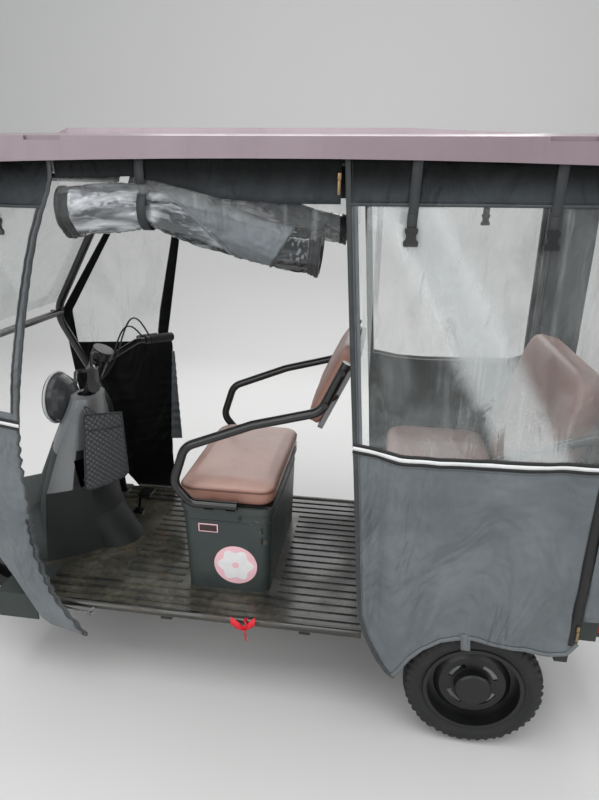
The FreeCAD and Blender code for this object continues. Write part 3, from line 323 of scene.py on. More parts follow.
@dataclass(frozen=True)
class Paint(Surface):
    """Paint on metal, glossy to satin, with fine dust and chips."""

    colour: Colour
    roughness: float
    coat: float
    chips: float
    chip_colour: Colour = linear(96, 78, 66)

    def dress(self, g: Graph) -> dict[str, object]:
        """Inputs of the surface shader."""
        cloud = g.noise(11.0, 5.0, rough=0.6)
        colour = g.stain(self.colour, cloud, 0.5, 0.85, 0.12, linear(88, 86, 82))
        colour = g.stain(colour, g.noise(70.0, 4.0, rough=0.7), 0.68, 0.72, self.chips, self.chip_colour)
        return {"Base_Color": colour, "Roughness": g.step(cloud, 0.3, 0.8) * 0.2 + self.roughness,
                "Normal": g.relief((g.noise(160.0, 3.0), 0.06, 0.0006)), "Coat_Weight": self.coat,
                "Coat_Roughness": 0.12}


@dataclass(frozen=True)
class SheetMetal(Surface):
    """Bare bright metal, brushed along its length and dulled in places."""

    colour: Colour = linear(190, 188, 184)
    roughness: float = 0.32

    def dress(self, g: Graph) -> dict[str, object]:
        """Inputs of the surface shader."""
        brush = g.noise(140.0, 4.0, g.stretched((0.05, 1.0, 1.0)), 0.6)
        stain = g.step(g.noise(16.0, 5.0, rough=0.6), 0.45, 0.75)
        return {"Base_Color": g.mix(stain * 0.6, self.colour, linear(90, 80, 70)),
                "Roughness": stain * 0.35 + brush * 0.15 + (self.roughness - 0.1),
                "Metallic": 1.0 - stain * 0.5, "Normal": g.relief((brush, 0.12, 0.0005))}


@dataclass(frozen=True)
class RoofGlaze(Surface):
    """Satin coloured moulding of the roof, with rain streaks, a film of dust on top and painted shade along
    its lower lip.
    """

    colour: Colour = linear(124, 108, 115)
    lip: tuple = (1.626, 1.640)     # heights between which the painted shade on the lower lip ends

    def dress(self, g: Graph) -> dict[str, object]:
        """Inputs of the surface shader."""
        streak = g.noise(26.0, 4.0, g.stretched((1.0, 1.0, 0.12)), 0.6)
        cloud = g.noise(3.2, 5.0, rough=0.6)
        colour = g.stain(self.colour, cloud, 0.3, 0.75, 0.5, linear(138, 124, 129))
        colour = g.stain(colour, streak, 0.55, 0.8, 0.22, linear(92, 79, 86))
        # painted shade along the lower lip, below the lip heights
        colour = g.mix((1.0 - g.step(g.axis("Z"), *self.lip)) * 0.3, colour, linear(84, 71, 78))
        return {"Base_Color": colour, "Roughness": g.step(streak, 0.3, 0.8) * 0.16 + 0.3,
                "Normal": g.relief((g.noise(6.0, 2.0), 0.12, 0.004), (g.noise(420.0, 2.0), 0.05, 0.0004)),
                "Coat_Weight": 0.25, "Coat_Roughness": 0.2}


@dataclass(frozen=True)
class CoatedCloth(Surface):
    """Woven cloth with a rubbery coat: fine weave, soft creases, damp patches and, where set, painted shade
    up towards the rail under the roof.
    """

    colour: Colour
    worn: Colour
    crease: float = 0.35
    shade: float = 0.0          # how much painted shade darkens it up towards the rail, under the roof's overhang
    lustre: float = 0.5
    weave: float = 1800.0
    # heights over which the painted shade deepens towards the rail
    rail: tuple = (1.540, 1.625)

    def dress(self, g: Graph) -> dict[str, object]:
        """Inputs of the surface shader."""
        x, z = g.axis("X"), g.axis("Z")
        weave = (x * self.weave).wave() * (z * self.weave).wave()
        cloud = g.noise(4.5, 5.0, rough=0.6)
        streak = g.noise(30.0, 4.0, g.stretched((1.0, 1.0, 0.25)), 0.6)
        colour = g.mix(g.step(cloud, 0.32, 0.72), self.colour, self.worn)
        colour = g.stain(colour, streak, 0.5, 0.8, 0.25, dim(self.colour, 0.62))
        # painted shade under the roof's overhang, near-black at the rail
        if self.shade:
            colour = g.stain(colour, z, *self.rail, self.shade, linear(7, 8, 8))
        broad = g.noise(4.2, 3.0, g.stretched((1.0, 1.0, 0.55)), 0.5, 1.4)
        normal = g.relief((broad, 0.9, 0.075), (g.noise(13.0, 4.0, rough=0.55, warp=0.8), self.crease, 0.008),
                          (g.noise(60.0, 3.0), 0.12, 0.0012), (weave, 0.1, 0.0004))
        return {"Base_Color": colour, "Roughness": 0.66 - g.step(cloud, 0.4, 0.8) * 0.2, "Normal": normal,
                "Sheen_Weight": self.lustre * 0.3, "Sheen_Roughness": 0.5, "Specular_IOR_Level": self.lustre}


@dataclass(frozen=True)
class ClearVinyl(Surface):
    """Clear sheet gone milky in places, with creases, runs of water, small drops and a painted reflection: a
    pale band across it.
    """

    colour: Colour = linear(188, 193, 193)
    clear: float = 0.04
    milky: float = 0.34
    drops_below: float = 1.18
    painted_reflection_line: tuple = (0.66, 1.24, 0.86, 0.51)    # a point on the painted reflection band (x, z) and its normal (x, z)
    painted_reflection_half: float = 0.075
    seam: tuple = (0.398, 0.010, 1.08)      # a doubled strip: its place, half width and lower end

    def dress(self, g: Graph) -> dict[str, object]:
        """Inputs of the surface shader."""
        x, z = g.axis("X"), g.axis("Z")
        haze = g.step(g.noise(3.4, 6.0, g.stretched((1.0, 1.0, 0.7)), 0.62, 1.1), 0.42, 0.72)
        runs = g.step(g.noise(46.0, 5.0, g.stretched((1.0, 1.0, 0.06)), 0.62), 0.56, 0.72)
        wisps = g.step(g.noise(11.0, 6.0, g.stretched((1.0, 1.0, 0.35)), 0.7, 2.2), 0.55, 0.66)
        # painted reflection: a pale, more opaque band across the sheet with wispy edges
        at_x, at_z, way_x, way_z = self.painted_reflection_line
        across = ((x - at_x) * way_x + (z - at_z) * way_z).size() + (wisps - 0.5) * 0.03
        painted_reflection = 1.0 - g.step(across, self.painted_reflection_half * 0.35, self.painted_reflection_half)
        low = 1.0 - g.step(z, self.drops_below - 0.2, self.drops_below + 0.1)
        wet = g.step(g.noise(6.0, 4.0, rough=0.6), 0.42, 0.6) * low
        drop, fine = ((1.0 - g.step(g.cells(scale), *edge)) * wet
                      for scale, edge in ((210.0, (0.14, 0.3)), (520.0, (0.2, 0.34))))
        seam_x, seam_half, seam_low = self.seam
        seam = (1.0 - g.step((x - seam_x).size(), seam_half, seam_half + 0.003)) * g.step(z, seam_low, 1.2)
        # real haze, runs, wisps, wet and seam, plus the painted reflection band
        milk_and_reflection = haze * 0.42 + runs * 0.26 + wisps * 0.16 + painted_reflection * 1.1 + low * 0.14 + seam * 0.8
        alpha = (milk_and_reflection * (self.milky - self.clear) + self.clear + drop * 0.3 + fine * 0.12).least(0.9)
        crease = g.noise(7.0, 5.0, g.stretched((1.0, 1.0, 0.6)), 0.6, 1.6)
        # colour paler on the painted reflection band and on the runs of water
        return {"Base_Color": g.mix(painted_reflection * 0.5 + runs * 0.2, self.colour, linear(226, 230, 230)),
                "Normal": g.relief((crease, 0.7, 0.014), (drop, 0.4, 0.0016)), "Alpha": alpha,
                "Roughness": haze * 0.16 + 0.07, "Coat_Weight": 0.9, "Coat_Roughness": 0.05}


@dataclass(frozen=True)
class CrumpledVinyl(Surface):
    """Rolled-up clear sheet: many layers, shiny, with painted reflections along the roll: crumples toned
    light and dark, and near-white glints.
    """

    # tones of the painted reflections on the crumples
    dark: Colour = linear(58, 62, 66)
    light: Colour = linear(184, 188, 192)
    # share of painted light on the roll: paler crumples and more glints
    bright: float = 0.5

    def dress(self, g: Graph) -> dict[str, object]:
        """Inputs of the surface shader."""
        along = g.stretched((0.45, 1.0, 1.6))
        layers, facets = g.noise(11.0, 4.0, along, 0.5, 0.9), g.noise(30.0, 3.0, along, 0.5, 0.6)
        # painted reflections: crumples toned between dark and light, then near-white glints on the facets
        tone = g.step(layers, 0.5 - self.bright * 0.25, 0.78 - self.bright * 0.2)
        colour = g.mix(tone, self.dark, self.light)
        colour = g.mix(g.step(facets, 0.58, 0.72) * self.bright * 0.6, colour, linear(214, 218, 222))
        return {"Base_Color": colour, "Roughness": tone * 0.1 + 0.1, "Coat_Weight": 1.0,
                "Coat_Roughness": 0.04, "Normal": g.relief((layers, 0.9, 0.01), (facets, 0.45, 0.003))}


@dataclass(frozen=True)
class Leather(Surface):
    """Soft-grained seat leather, paler on its upward faces from real dust and wear and from a painted
    highlight.
    """

    colour: Colour = linear(156, 114, 100)
    dust_and_highlight: Colour = linear(205, 172, 162)

    def dress(self, g: Graph) -> dict[str, object]:
        """Inputs of the surface shader."""
        rise = g.axis("Z", g.facing)
        cloud = g.noise(7.0, 5.0, rough=0.6)
        # upward faces turn paler: real dust and wear, and a painted highlight from above
        dust_and_highlight_mask = (g.step(rise, 0.35, 0.95) * (g.step(cloud, 0.1, 0.75) * 0.6 + 0.4)).least(1.0)
        colour = g.mix(dust_and_highlight_mask, self.colour, self.dust_and_highlight)
        colour = g.stain(colour, g.noise(22.0, 4.0), 0.55, 0.85, 0.2, linear(120, 84, 72))
        grain = g.cells(520.0, "SMOOTH_F1")
        return {"Base_Color": colour, "Roughness": g.step(cloud, 0.2, 0.8) * 0.15 + 0.36,
                "Normal": g.relief((grain, 0.22, 0.0005), (g.noise(26.0, 4.0), 0.15, 0.0015)),
                "Coat_Weight": 0.12, "Coat_Roughness": 0.3}


@dataclass(frozen=True)
class Rubber(Surface):
    """Tyre and grip rubber, greyed by dust and road film."""

    colour: Colour = linear(20, 21, 21)
    dust: float = 0.22

    def dress(self, g: Graph) -> dict[str, object]:
        """Inputs of the surface shader."""
        cloud = g.noise(14.0, 5.0, rough=0.65)
        return {"Base_Color": g.stain(self.colour, cloud, 0.4, 0.8, self.dust, linear(86, 82, 78)),
                "Roughness": g.step(cloud, 0.2, 0.8) * 0.2 + 0.58,
                "Normal": g.relief((g.noise(300.0, 3.0), 0.25, 0.0006))}


@dataclass(frozen=True)
class FloorMat(Surface):
    """Ribbed mat, dark and wet, with dirt and rust-brown stains in its channels."""

    colour: Colour = linear(40, 40, 39)
    channel: tuple = (0.3102, 0.3135)       # heights of the channels' floor and the ribs' top

    def dress(self, g: Graph) -> dict[str, object]:
        """Inputs of the surface shader."""
        x = g.axis("X")
        cloud, fine = g.noise(6.0, 6.0, rough=0.65), g.noise(42.0, 5.0, rough=0.7)
        dirt = g.mix(g.step(x, 0.02, 0.22), linear(100, 98, 84), linear(84, 83, 80))
        channel = 1.0 - g.step(g.axis("Z"), *self.channel)
        amount = (g.step(cloud, 0.36, 0.7) * 0.75 + channel * 0.3).least(1.0) * g.step(fine, 0.15, 0.7)
        rust = g.step(g.noise(10.0, 6.0, rough=0.7), 0.56, 0.7) * (1.0 - g.step(x, 0.1, 0.5))
        colour = g.mix(rust * 0.32, g.mix(amount, self.colour, dirt), linear(106, 72, 44))
        return {"Base_Color": colour, "Roughness": 0.50 - g.step(g.noise(3.5, 3.0), 0.36, 0.58) * 0.34,
                "Normal": g.relief((fine, 0.3, 0.001))}


@dataclass(frozen=True)
class Glass(Surface):
    """Clear or tinted pane or lens."""

    colour: Colour = (0.82, 0.86, 0.86)
    alpha: float = 0.22
    roughness: float = 0.04

    def dress(self, g: Graph) -> dict[str, object]:
        """Inputs of the surface shader."""
        film = g.step(g.noise(8.0, 5.0, rough=0.6), 0.45, 0.8)
        return {"Base_Color": self.colour, "Roughness": film * 0.1 + self.roughness,
                "Alpha": film * 0.12 + self.alpha, "Coat_Weight": 1.0, "Coat_Roughness": 0.02}


@dataclass(frozen=True)
class Webbing(Surface):
    """Flat woven strap with a ribbed weave."""

    colour: Colour = linear(44, 46, 48)
    pitch: float = 1400.0

    def dress(self, g: Graph) -> dict[str, object]:
        """Inputs of the surface shader."""
        rib = (g.axis("Z") * self.pitch).wave() * 0.5 + (g.axis("X") * self.pitch).wave() * 0.5
        return {"Base_Color": g.stain(self.colour, g.noise(20.0, 4.0), 0.4, 0.8, 0.35, linear(74, 76, 78)),
                "Roughness": 0.7, "Normal": g.relief((rib, 0.3, 0.0006))}


@dataclass(frozen=True)
class Plain(Surface):
    """Small trim in one colour with a little mottling."""

    colour: Colour
    roughness: float = 0.5
    metallic: float = 0.0

    def dress(self, g: Graph) -> dict[str, object]:
        """Inputs of the surface shader."""
        cloud = g.noise(40.0, 4.0)
        return {"Base_Color": g.stain(self.colour, cloud, 0.3, 0.8, 0.25, dim(self.colour, 0.7)),
                "Roughness": g.step(cloud, 0.3, 0.8) * 0.12 + self.roughness, "Metallic": self.metallic,
                "Normal": g.relief((cloud, 0.1, 0.0005))}


class Finish(Enum):
    """Every finish on the vehicle."""

    ROOF = RoofGlaze("roof_glaze")
    CHASSIS = Paint("chassis_paint", linear(30, 30, 31), 0.42, 0.1, 0.5)
    TUBE = Paint("tube_paint", linear(8, 8, 9), 0.26, 0.4, 0.15)
    WHEEL = Paint("wheel_paint", linear(10, 11, 11), 0.40, 0.1, 0.15)
    COWL = ColumnPlastic("cowl_plastic", skirt=linear(46, 53, 52), strip=-1.0)
    BODY = MouldedPlastic("body_plastic", linear(50, 58, 56), 0.5, 0.3, 0.25)
    BUCKET = MouldedPlastic("bucket_plastic", linear(54, 63, 62), 0.42, 0.2, 0.16, scuffs=0.45)
    SHIELD = ColumnPlastic("shield_plastic")
    PANEL = MouldedPlastic("panel_silver", linear(122, 124, 128), 0.38, 0.12, 0.3)
    BLACK = MouldedPlastic("black_plastic", linear(26, 27, 28), 0.35, 0.15, 0.2)
    BOWL = MouldedPlastic("bowl_plastic", linear(70, 72, 74), 0.25, 0.05, 0.3)
    SHELL = MouldedPlastic("back_shell", linear(128, 126, 128), 0.34, 0.1, 0.3)
    BRIGHT = SheetMetal("bright_steel")
    MAT = FloorMat("floor_mat")
    CLOTH = CoatedCloth("curtain_cloth", linear(88, 94, 98), linear(104, 110, 114), crease=0.6)
    # darker cloth of the bands under the roof and of the front curtains' tail tape; on the bands the darker
    # tone stands partly for shade under the roof, and painted shade deepens it to near-black at the rail
    CLOTH_DARK_AND_SHADED = CoatedCloth("curtain_band_painted_shade", linear(50, 54, 57), linear(70, 75, 78), crease=1.2,
                             shade=0.98, lustre=0.12)
    CLOTH_INSIDE = CoatedCloth("curtain_inside", linear(8, 9, 9), linear(15, 16, 16), lustre=0.12)
    BINDING = CoatedCloth("curtain_binding", linear(44, 48, 50), linear(60, 64, 66), crease=0.1)
    HEM = CoatedCloth("curtain_hem", linear(92, 98, 102), linear(108, 114, 118), crease=0.5)
    VINYL = ClearVinyl("clear_vinyl")
    VINYL_FAR = ClearVinyl("clear_vinyl_far", linear(196, 199, 196), 0.04, 0.3)
    ROLLED_VINYL = CrumpledVinyl("rolled_vinyl")
    ROLLED_DARK = CrumpledVinyl("rolled_vinyl_dark", linear(30, 34, 36), linear(96, 102, 106), 0.2)
    LEATHER = Leather("seat_leather")
    RUBBER = Rubber("tyre_rubber")
    GRIP = Rubber("grip_rubber", linear(22, 22, 23), 0.2)
    SCREEN = Glass("screen_glass")
    LENS = Glass("lamp_glass", (0.9, 0.92, 0.94), 0.35)
    TAIL_RED = Plain("tail_red", linear(150, 16, 14), 0.12)
    WEBBING = Webbing("strap_webbing")
    STRIPE_WHITE = Plain("stripe_white", linear(222, 224, 224), 0.4)
    STRIPE_BLACK = Plain("stripe_black", linear(24, 24, 25), 0.5)
    BRASS = Plain("zip_slider", linear(150, 126, 92), 0.3, 0.8)
    CHROME = Plain("bright_trim", linear(196, 198, 200), 0.2, 0.9)
    RIBBON = Plain("ribbon_red", linear(222, 32, 48), 0.5)
    STICKER_PINK = Plain("sticker_pink", linear(244, 196, 204), 0.35)
    STICKER_WHITE = Plain("sticker_white", linear(238, 236, 236), 0.35)
    POUCH = QuiltedCloth("pouch_cloth")
    RIM_WHITE = Plain("lamp_rim", linear(226, 228, 228), 0.3)
    BADGE = Plain("badge_face", linear(58, 34, 34), 0.3)
    ZIP_TAPE = CoatedCloth("zip_tape", linear(24, 25, 26), linear(46, 48, 49), crease=0.6)
    WELT = Plain("seat_welt", linear(104, 74, 64), 0.45)
    SILL = SheetMetal("sill_steel", linear(84, 84, 82), 0.36)
    CABLE = Plain("cable_sheath", linear(18, 18, 19), 0.35)

    def material(self) -> bpy.types.Material:
        """The finish's material, made once."""
        if self not in MADE:
            MADE[self] = self.value.make()
        return MADE[self]


MADE: dict[Finish, bpy.types.Material] = {}


# ---------------------------------------------------------------- mesh helpers

def smooth(obj: bpy.types.Object) -> bpy.types.Object:
    """Shades an object smooth."""
    for face in obj.data.polygons:
        face.use_smooth = True
    return obj


def linked(name: str, data: bpy.types.ID) -> bpy.types.Object:
    """An object with that data, in the scene."""
    obj = bpy.data.objects.new(name, data)
    bpy.context.scene.collection.objects.link(obj)
    return obj


def mesh_object(name: str, points: Sequence, faces: Sequence, finish: Finish,
                shade: bool = True) -> bpy.types.Object:
    """Makes a mesh object.

    Args:
        name: piece name.
        points: vertex places.
        faces: vertex indices of each face.
        finish: finish of all faces.
        shade: whether it is shaded smooth.

    Returns:
        The linked object.
    """
    mesh = bpy.data.meshes.new(name)
    mesh.from_pydata([tuple(p) for p in points], [], [tuple(f) for f in faces])
    mesh.materials.append(finish.material())
    obj = linked(name, mesh)
    return smooth(obj) if shade else obj


def grid_faces(rows: int, columns: int, closed: bool = False) -> list:
    """Quads of a grid of points, row after row, joined across the row's ends where closed."""
    faces = []
    for row in range(rows - 1):
        for column in range(columns if closed else columns - 1):
            following = (column + 1) % columns
            faces.append((row * columns + column, row * columns + following,
                          (row + 1) * columns + following, (row + 1) * columns + column))
    return faces


def apply_modifiers(obj: bpy.types.Object) -> bpy.types.Object:
    """Turns an object's evaluated shape into its plain mesh and removes its modifiers."""
    graph = bpy.context.evaluated_depsgraph_get()
    mesh = bpy.data.meshes.new_from_object(obj.evaluated_get(graph), depsgraph=graph)
    obj.modifiers.clear()
    obj.data = mesh
    return obj


@contextmanager
def opened(obj: bpy.types.Object) -> Iterator[bmesh.types.BMesh]:
    """An object's mesh open for changes, which are kept at the end."""
    work = bmesh.new()
    work.from_mesh(obj.data)
    yield work
    work.to_mesh(obj.data)
    work.free()


def outward(obj: bpy.types.Object) -> bpy.types.Object:
    """Merges doubles and turns a closed mesh's faces outwards."""
    with opened(obj) as work:
        bmesh.ops.remove_doubles(work, verts=work.verts, dist=1e-6)
        bmesh.ops.recalc_face_normals(work, faces=work.faces)
    return obj


def face_left(obj: bpy.types.Object) -> bpy.types.Object:
    """Turns the faces of a sheet on the vehicle's left outwards."""
    for face in obj.data.polygons:
        if face.normal.y > 0:
            face.flip()
    return obj


def thicken(obj: bpy.types.Object, thickness: float, offset: float = -1.0,
            lining: int = 0) -> bpy.types.Object:
    """Gives a sheet its thickness; its inner side's finish is that many slots further on."""
    solid = obj.modifiers.new("thickness", "SOLIDIFY")
    solid.thickness, solid.offset, solid.material_offset = thickness, offset, lining
    return apply_modifiers(obj)


def rounded(obj: bpy.types.Object, width: float) -> bpy.types.Object:
    """Rounds an object's edges."""
    edge = obj.modifiers.new("edges", "BEVEL")
    edge.width, edge.segments = width, 2
    return apply_modifiers(obj)


def prism(name: str, front: Sequence[Point], back: Sequence[Point], finish: Finish) -> bpy.types.Object:
    """Closed solid between two outlines with the same number of points."""
    n = len(front)
    faces = [tuple(range(n)), tuple(range(2 * n - 1, n - 1, -1))]
    faces += [(k, (k + 1) % n, n + (k + 1) % n, n + k) for k in range(n)]
    return outward(mesh_object(name, [*front, *back], faces, finish, shade=False))


def settle(obj: bpy.types.Object, body: str, node: str = "") -> bpy.types.Object:
    """Fixes a piece to the body that it rides on and hides the solid that it stands for.

    Args:
        obj: the piece.
        body: body that it rides on.
        node: solid that it stands for, if any.

    Returns:
        The piece.
    """
    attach(obj, body)
    if node:
        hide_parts(node)
    return obj


def tube(name: str, path: Sequence[Point], radius: float, finish: Finish, sides: int) -> bpy.types.Object:
    """Closed tube along a path.

    Args:
        name: piece name.
        path: points of its middle line.
        radius: its radius.
        finish: its finish.
        sides: faces round it.

    Returns:
        The tube.
    """
    line = [Vector(p) for p in path]
    points, side = [], None
    for i, at in enumerate(line):
        way = (line[min(i + 1, len(line) - 1)] - line[max(i - 1, 0)]).normalized()
        if side is None:
            side = way.orthogonal().normalized()
        side = (side - way * side.dot(way)).normalized()
        up = way.cross(side)
        for k in range(sides):
            turn = 2 * math.pi * k / sides
            points.append(at + side * (math.cos(turn) * radius) + up * (math.sin(turn) * radius))
    faces = grid_faces(len(line), sides, True)
    for start, flip in ((0, False), ((len(line) - 1) * sides, True)):
        centre = len(points)
        points.append(line[-1] if flip else line[0])
        for k in range(sides):
            a, b = start + k, start + (k + 1) % sides
            faces.append((a, b, centre) if flip else (b, a, centre))
    return outward(mesh_object(name, points, faces, finish))


def curve_points(controls: Sequence[Point], steps: int) -> list[Vector]:
    """Points on a smooth curve through the controls."""
    line = [Vector(p) for p in controls]
    padded = [line[0] * 2 - line[1]] + line + [line[-1] * 2 - line[-2]]
    out = []
    for i in range(1, len(padded) - 2):
        p0, p1, p2, p3 = padded[i - 1:i + 3]
        for k in range(steps):
            t = k / steps
            out.append(0.5 * ((2 * p1) + (p2 - p0) * t + (2 * p0 - 5 * p1 + 4 * p2 - p3) * t * t
                              + (3 * p1 - p0 - 3 * p2 + p3) * t ** 3))
    out.append(line[-1])
    return out


def box_mesh(low: Point, high: Point, finish: Finish, bevel: float) -> bpy.types.Object:
    """Block between two corners with rounded edges."""
    points = [((low, high)[i][0], (low, high)[j][1], (low, high)[k][2])
              for k in (0, 1) for i, j in ((0, 0), (1, 0), (1, 1), (0, 1))]
    faces = [(0, 3, 2, 1), (4, 5, 6, 7), (0, 1, 5, 4), (1, 2, 6, 5), (2, 3, 7, 6), (3, 0, 4, 7)]
    return rounded(mesh_object("block", points, faces, finish), bevel)


def joined(name: str, parts: Sequence[bpy.types.Object]) -> bpy.types.Object:
    """One mesh object from several, with their finishes kept."""
    mesh = bpy.data.meshes.new(name)
    work = bmesh.new()
    for part in parts:
        slots = []
        for material in part.data.materials:
            if material.name not in mesh.materials:
                mesh.materials.append(material)
            slots.append(mesh.materials.find(material.name))
        start = len(work.faces)
        work.from_mesh(part.data)
        work.faces.ensure_lookup_table()
        for face in work.faces[start:]:
            face.material_index = slots[face.material_index] if slots else 0
    work.to_mesh(mesh)
    work.free()
    for part in parts:
        bpy.data.objects.remove(part)
    return linked(name, mesh)


def mirror_copy(name: str, source: bpy.types.Object) -> bpy.types.Object:
    """The same piece on the vehicle's other side, facing outwards."""
    mesh = source.data.copy()
    for vertex in mesh.vertices:
        vertex.co.y = -vertex.co.y
    mesh.flip_normals()
    return linked(name, mesh)


def resample(points: Sequence, count: int) -> np.ndarray:
    """Evenly spaced points along a line of straight runs."""
    line = np.array(points, float)
    along = np.concatenate([[0], np.cumsum(np.linalg.norm(np.diff(line, axis=0), axis=1))])
    at = np.linspace(0, along[-1], count)
    return np.stack([np.interp(at, along, line[:, k]) for k in range(line.shape[1])], axis=1)


def coons(bottom: np.ndarray, top: np.ndarray, left: np.ndarray, right: np.ndarray) -> np.ndarray:
    """Patch between four boundary curves.

    Args:
        bottom: curve from the lower left to the lower right corner.
        top: curve from the upper left to the upper right corner.
        left: curve from the lower left to the upper left corner.
        right: curve from the lower right to the upper right corner.

    Returns:
        Points by row and column.
    """
    columns, rows = len(bottom), len(left)
    u = np.linspace(0, 1, columns)[None, :, None]
    v = np.linspace(0, 1, rows)[:, None, None]
    ruled = (1 - v) * bottom[None] + v * top[None] + (1 - u) * left[:, None] + u * right[:, None]
    corners = ((1 - u) * (1 - v) * bottom[0] + u * (1 - v) * bottom[-1]
               + (1 - u) * v * top[0] + u * v * top[-1])
    return ruled - corners


def snapped(levels: np.ndarray, bounds: Sequence[float]) -> np.ndarray:
    """Levels of which the nearest to each bound lies on it."""
    for bound in bounds:
        levels[np.argmin(abs(levels - bound))] = bound
    return levels


@dataclass(frozen=True)
class Fold:
    """A crease or swell along a line in the side view."""

    start: tuple[float, float]
    end: tuple[float, float]
    width: float
    height: float

    def rise(self, x: float, z: float) -> float:
        """How far the cloth stands out at a place."""
        ax, az = self.start
        bx, bz = self.end
        dx, dz = bx - ax, bz - az
        t = max(0.0, min(1.0, ((x - ax) * dx + (z - az) * dz) / (dx * dx + dz * dz)))
        gap = math.hypot(x - ax - t * dx, z - az - t * dz)
        return self.height * math.exp(-(gap / self.width) ** 2) * (1 - 0.5 * abs(2 * t - 1) ** 3)


# ---------------------------------------------------------------- curtains

SIDE_Y = 0.490
CLOTH_GAUGE = 0.0018
VINYL_GAUGE = 0.0008
TO_LEFT = Vector((0.0, -1.0, 0.0))


def sheet(obj: bpy.types.Object, gauge: float, lining: int = 0,
          out: Callable[[Vector], Vector] = lambda at: TO_LEFT) -> bpy.types.Object:
    """Drops unused points, turns a sheet's faces outwards and gives it its thickness.

    Args:
        obj: sheet of one layer.
        gauge: its thickness.
        lining: how many slots further on its inner side's finish is.
        out: way outwards at a place.

    Returns:
        The sheet.
    """
    with opened(obj) as work:
        bmesh.ops.delete(work, geom=[v for v in work.verts if not v.link_faces], context="VERTS")
        for face in work.faces:
            if face.normal.dot(out(face.calc_center_median())) < 0:
                face.normal_flip()
    return thicken(obj, gauge, lining=lining)


def cloth_and_window(name: str, points: Sequence, rows: int, columns: int, kind: Callable[[int, int], int],
                     pane: Finish) -> list[bpy.types.Object]:
    """Cloth and window of a curtain that share one grid of points.

    Args:
        name: curtain's name.
        points: places by row and column.
        rows: number of rows.
        columns: number of columns.
        kind: 0 for cloth, 1 for its band, darker with painted shade under the roof, and 2 for window, at a
            row and column.
        pane: finish of the window.

    Returns:
        Both sheets; each of the cloth's finishes is followed by the slot of its black inner side.
    """
    quads = [[], [], []]
    for index, quad in enumerate(grid_faces(rows, columns)):
        quads[kind(*divmod(index, columns - 1))].append(quad)
    cloth = mesh_object(name + "_cloth", points, quads[0] + quads[1], Finish.CLOTH)
    for finish in (Finish.CLOTH_INSIDE, Finish.CLOTH_DARK_AND_SHADED, Finish.CLOTH_INSIDE):
        cloth.data.materials.append(finish.material())
    for face in cloth.data.polygons[len(quads[0]):]:
        face.material_index = 2
    return [cloth, mesh_object(name + "_window", points, quads[2], pane)]


def strip_along(path: np.ndarray, width: float | Callable[[float], float], place: Callable[..., Point],
                finish: Finish, gauge: float) -> bpy.types.Object:
    """Flat strip on a curtain.

    Args:
        path: its middle line in the side view, each place with what else place() takes.
        width: its width, or the width at a height.
        place: turns a place of the side view into a point.
        finish: its finish.
        gauge: its thickness.

    Returns:
        The strip.
    """
    last, points = len(path) - 1, []
    for i, (x, z, *rest) in enumerate(path):
        ahead = path[min(i + 1, last)][:2] - path[max(i - 1, 0)][:2]
        ahead /= max(np.linalg.norm(ahead), 1e-9)
        wide = width(z) if callable(width) else width
        for side in (-0.5, 0.5):
            points.append(place(x - ahead[1] * side * wide, z + ahead[0] * side * wide, *rest))
    strip = mesh_object("strip", points, grid_faces(last + 1, 2), finish)
    return thicken(face_left(strip), gauge, offset=0.0)


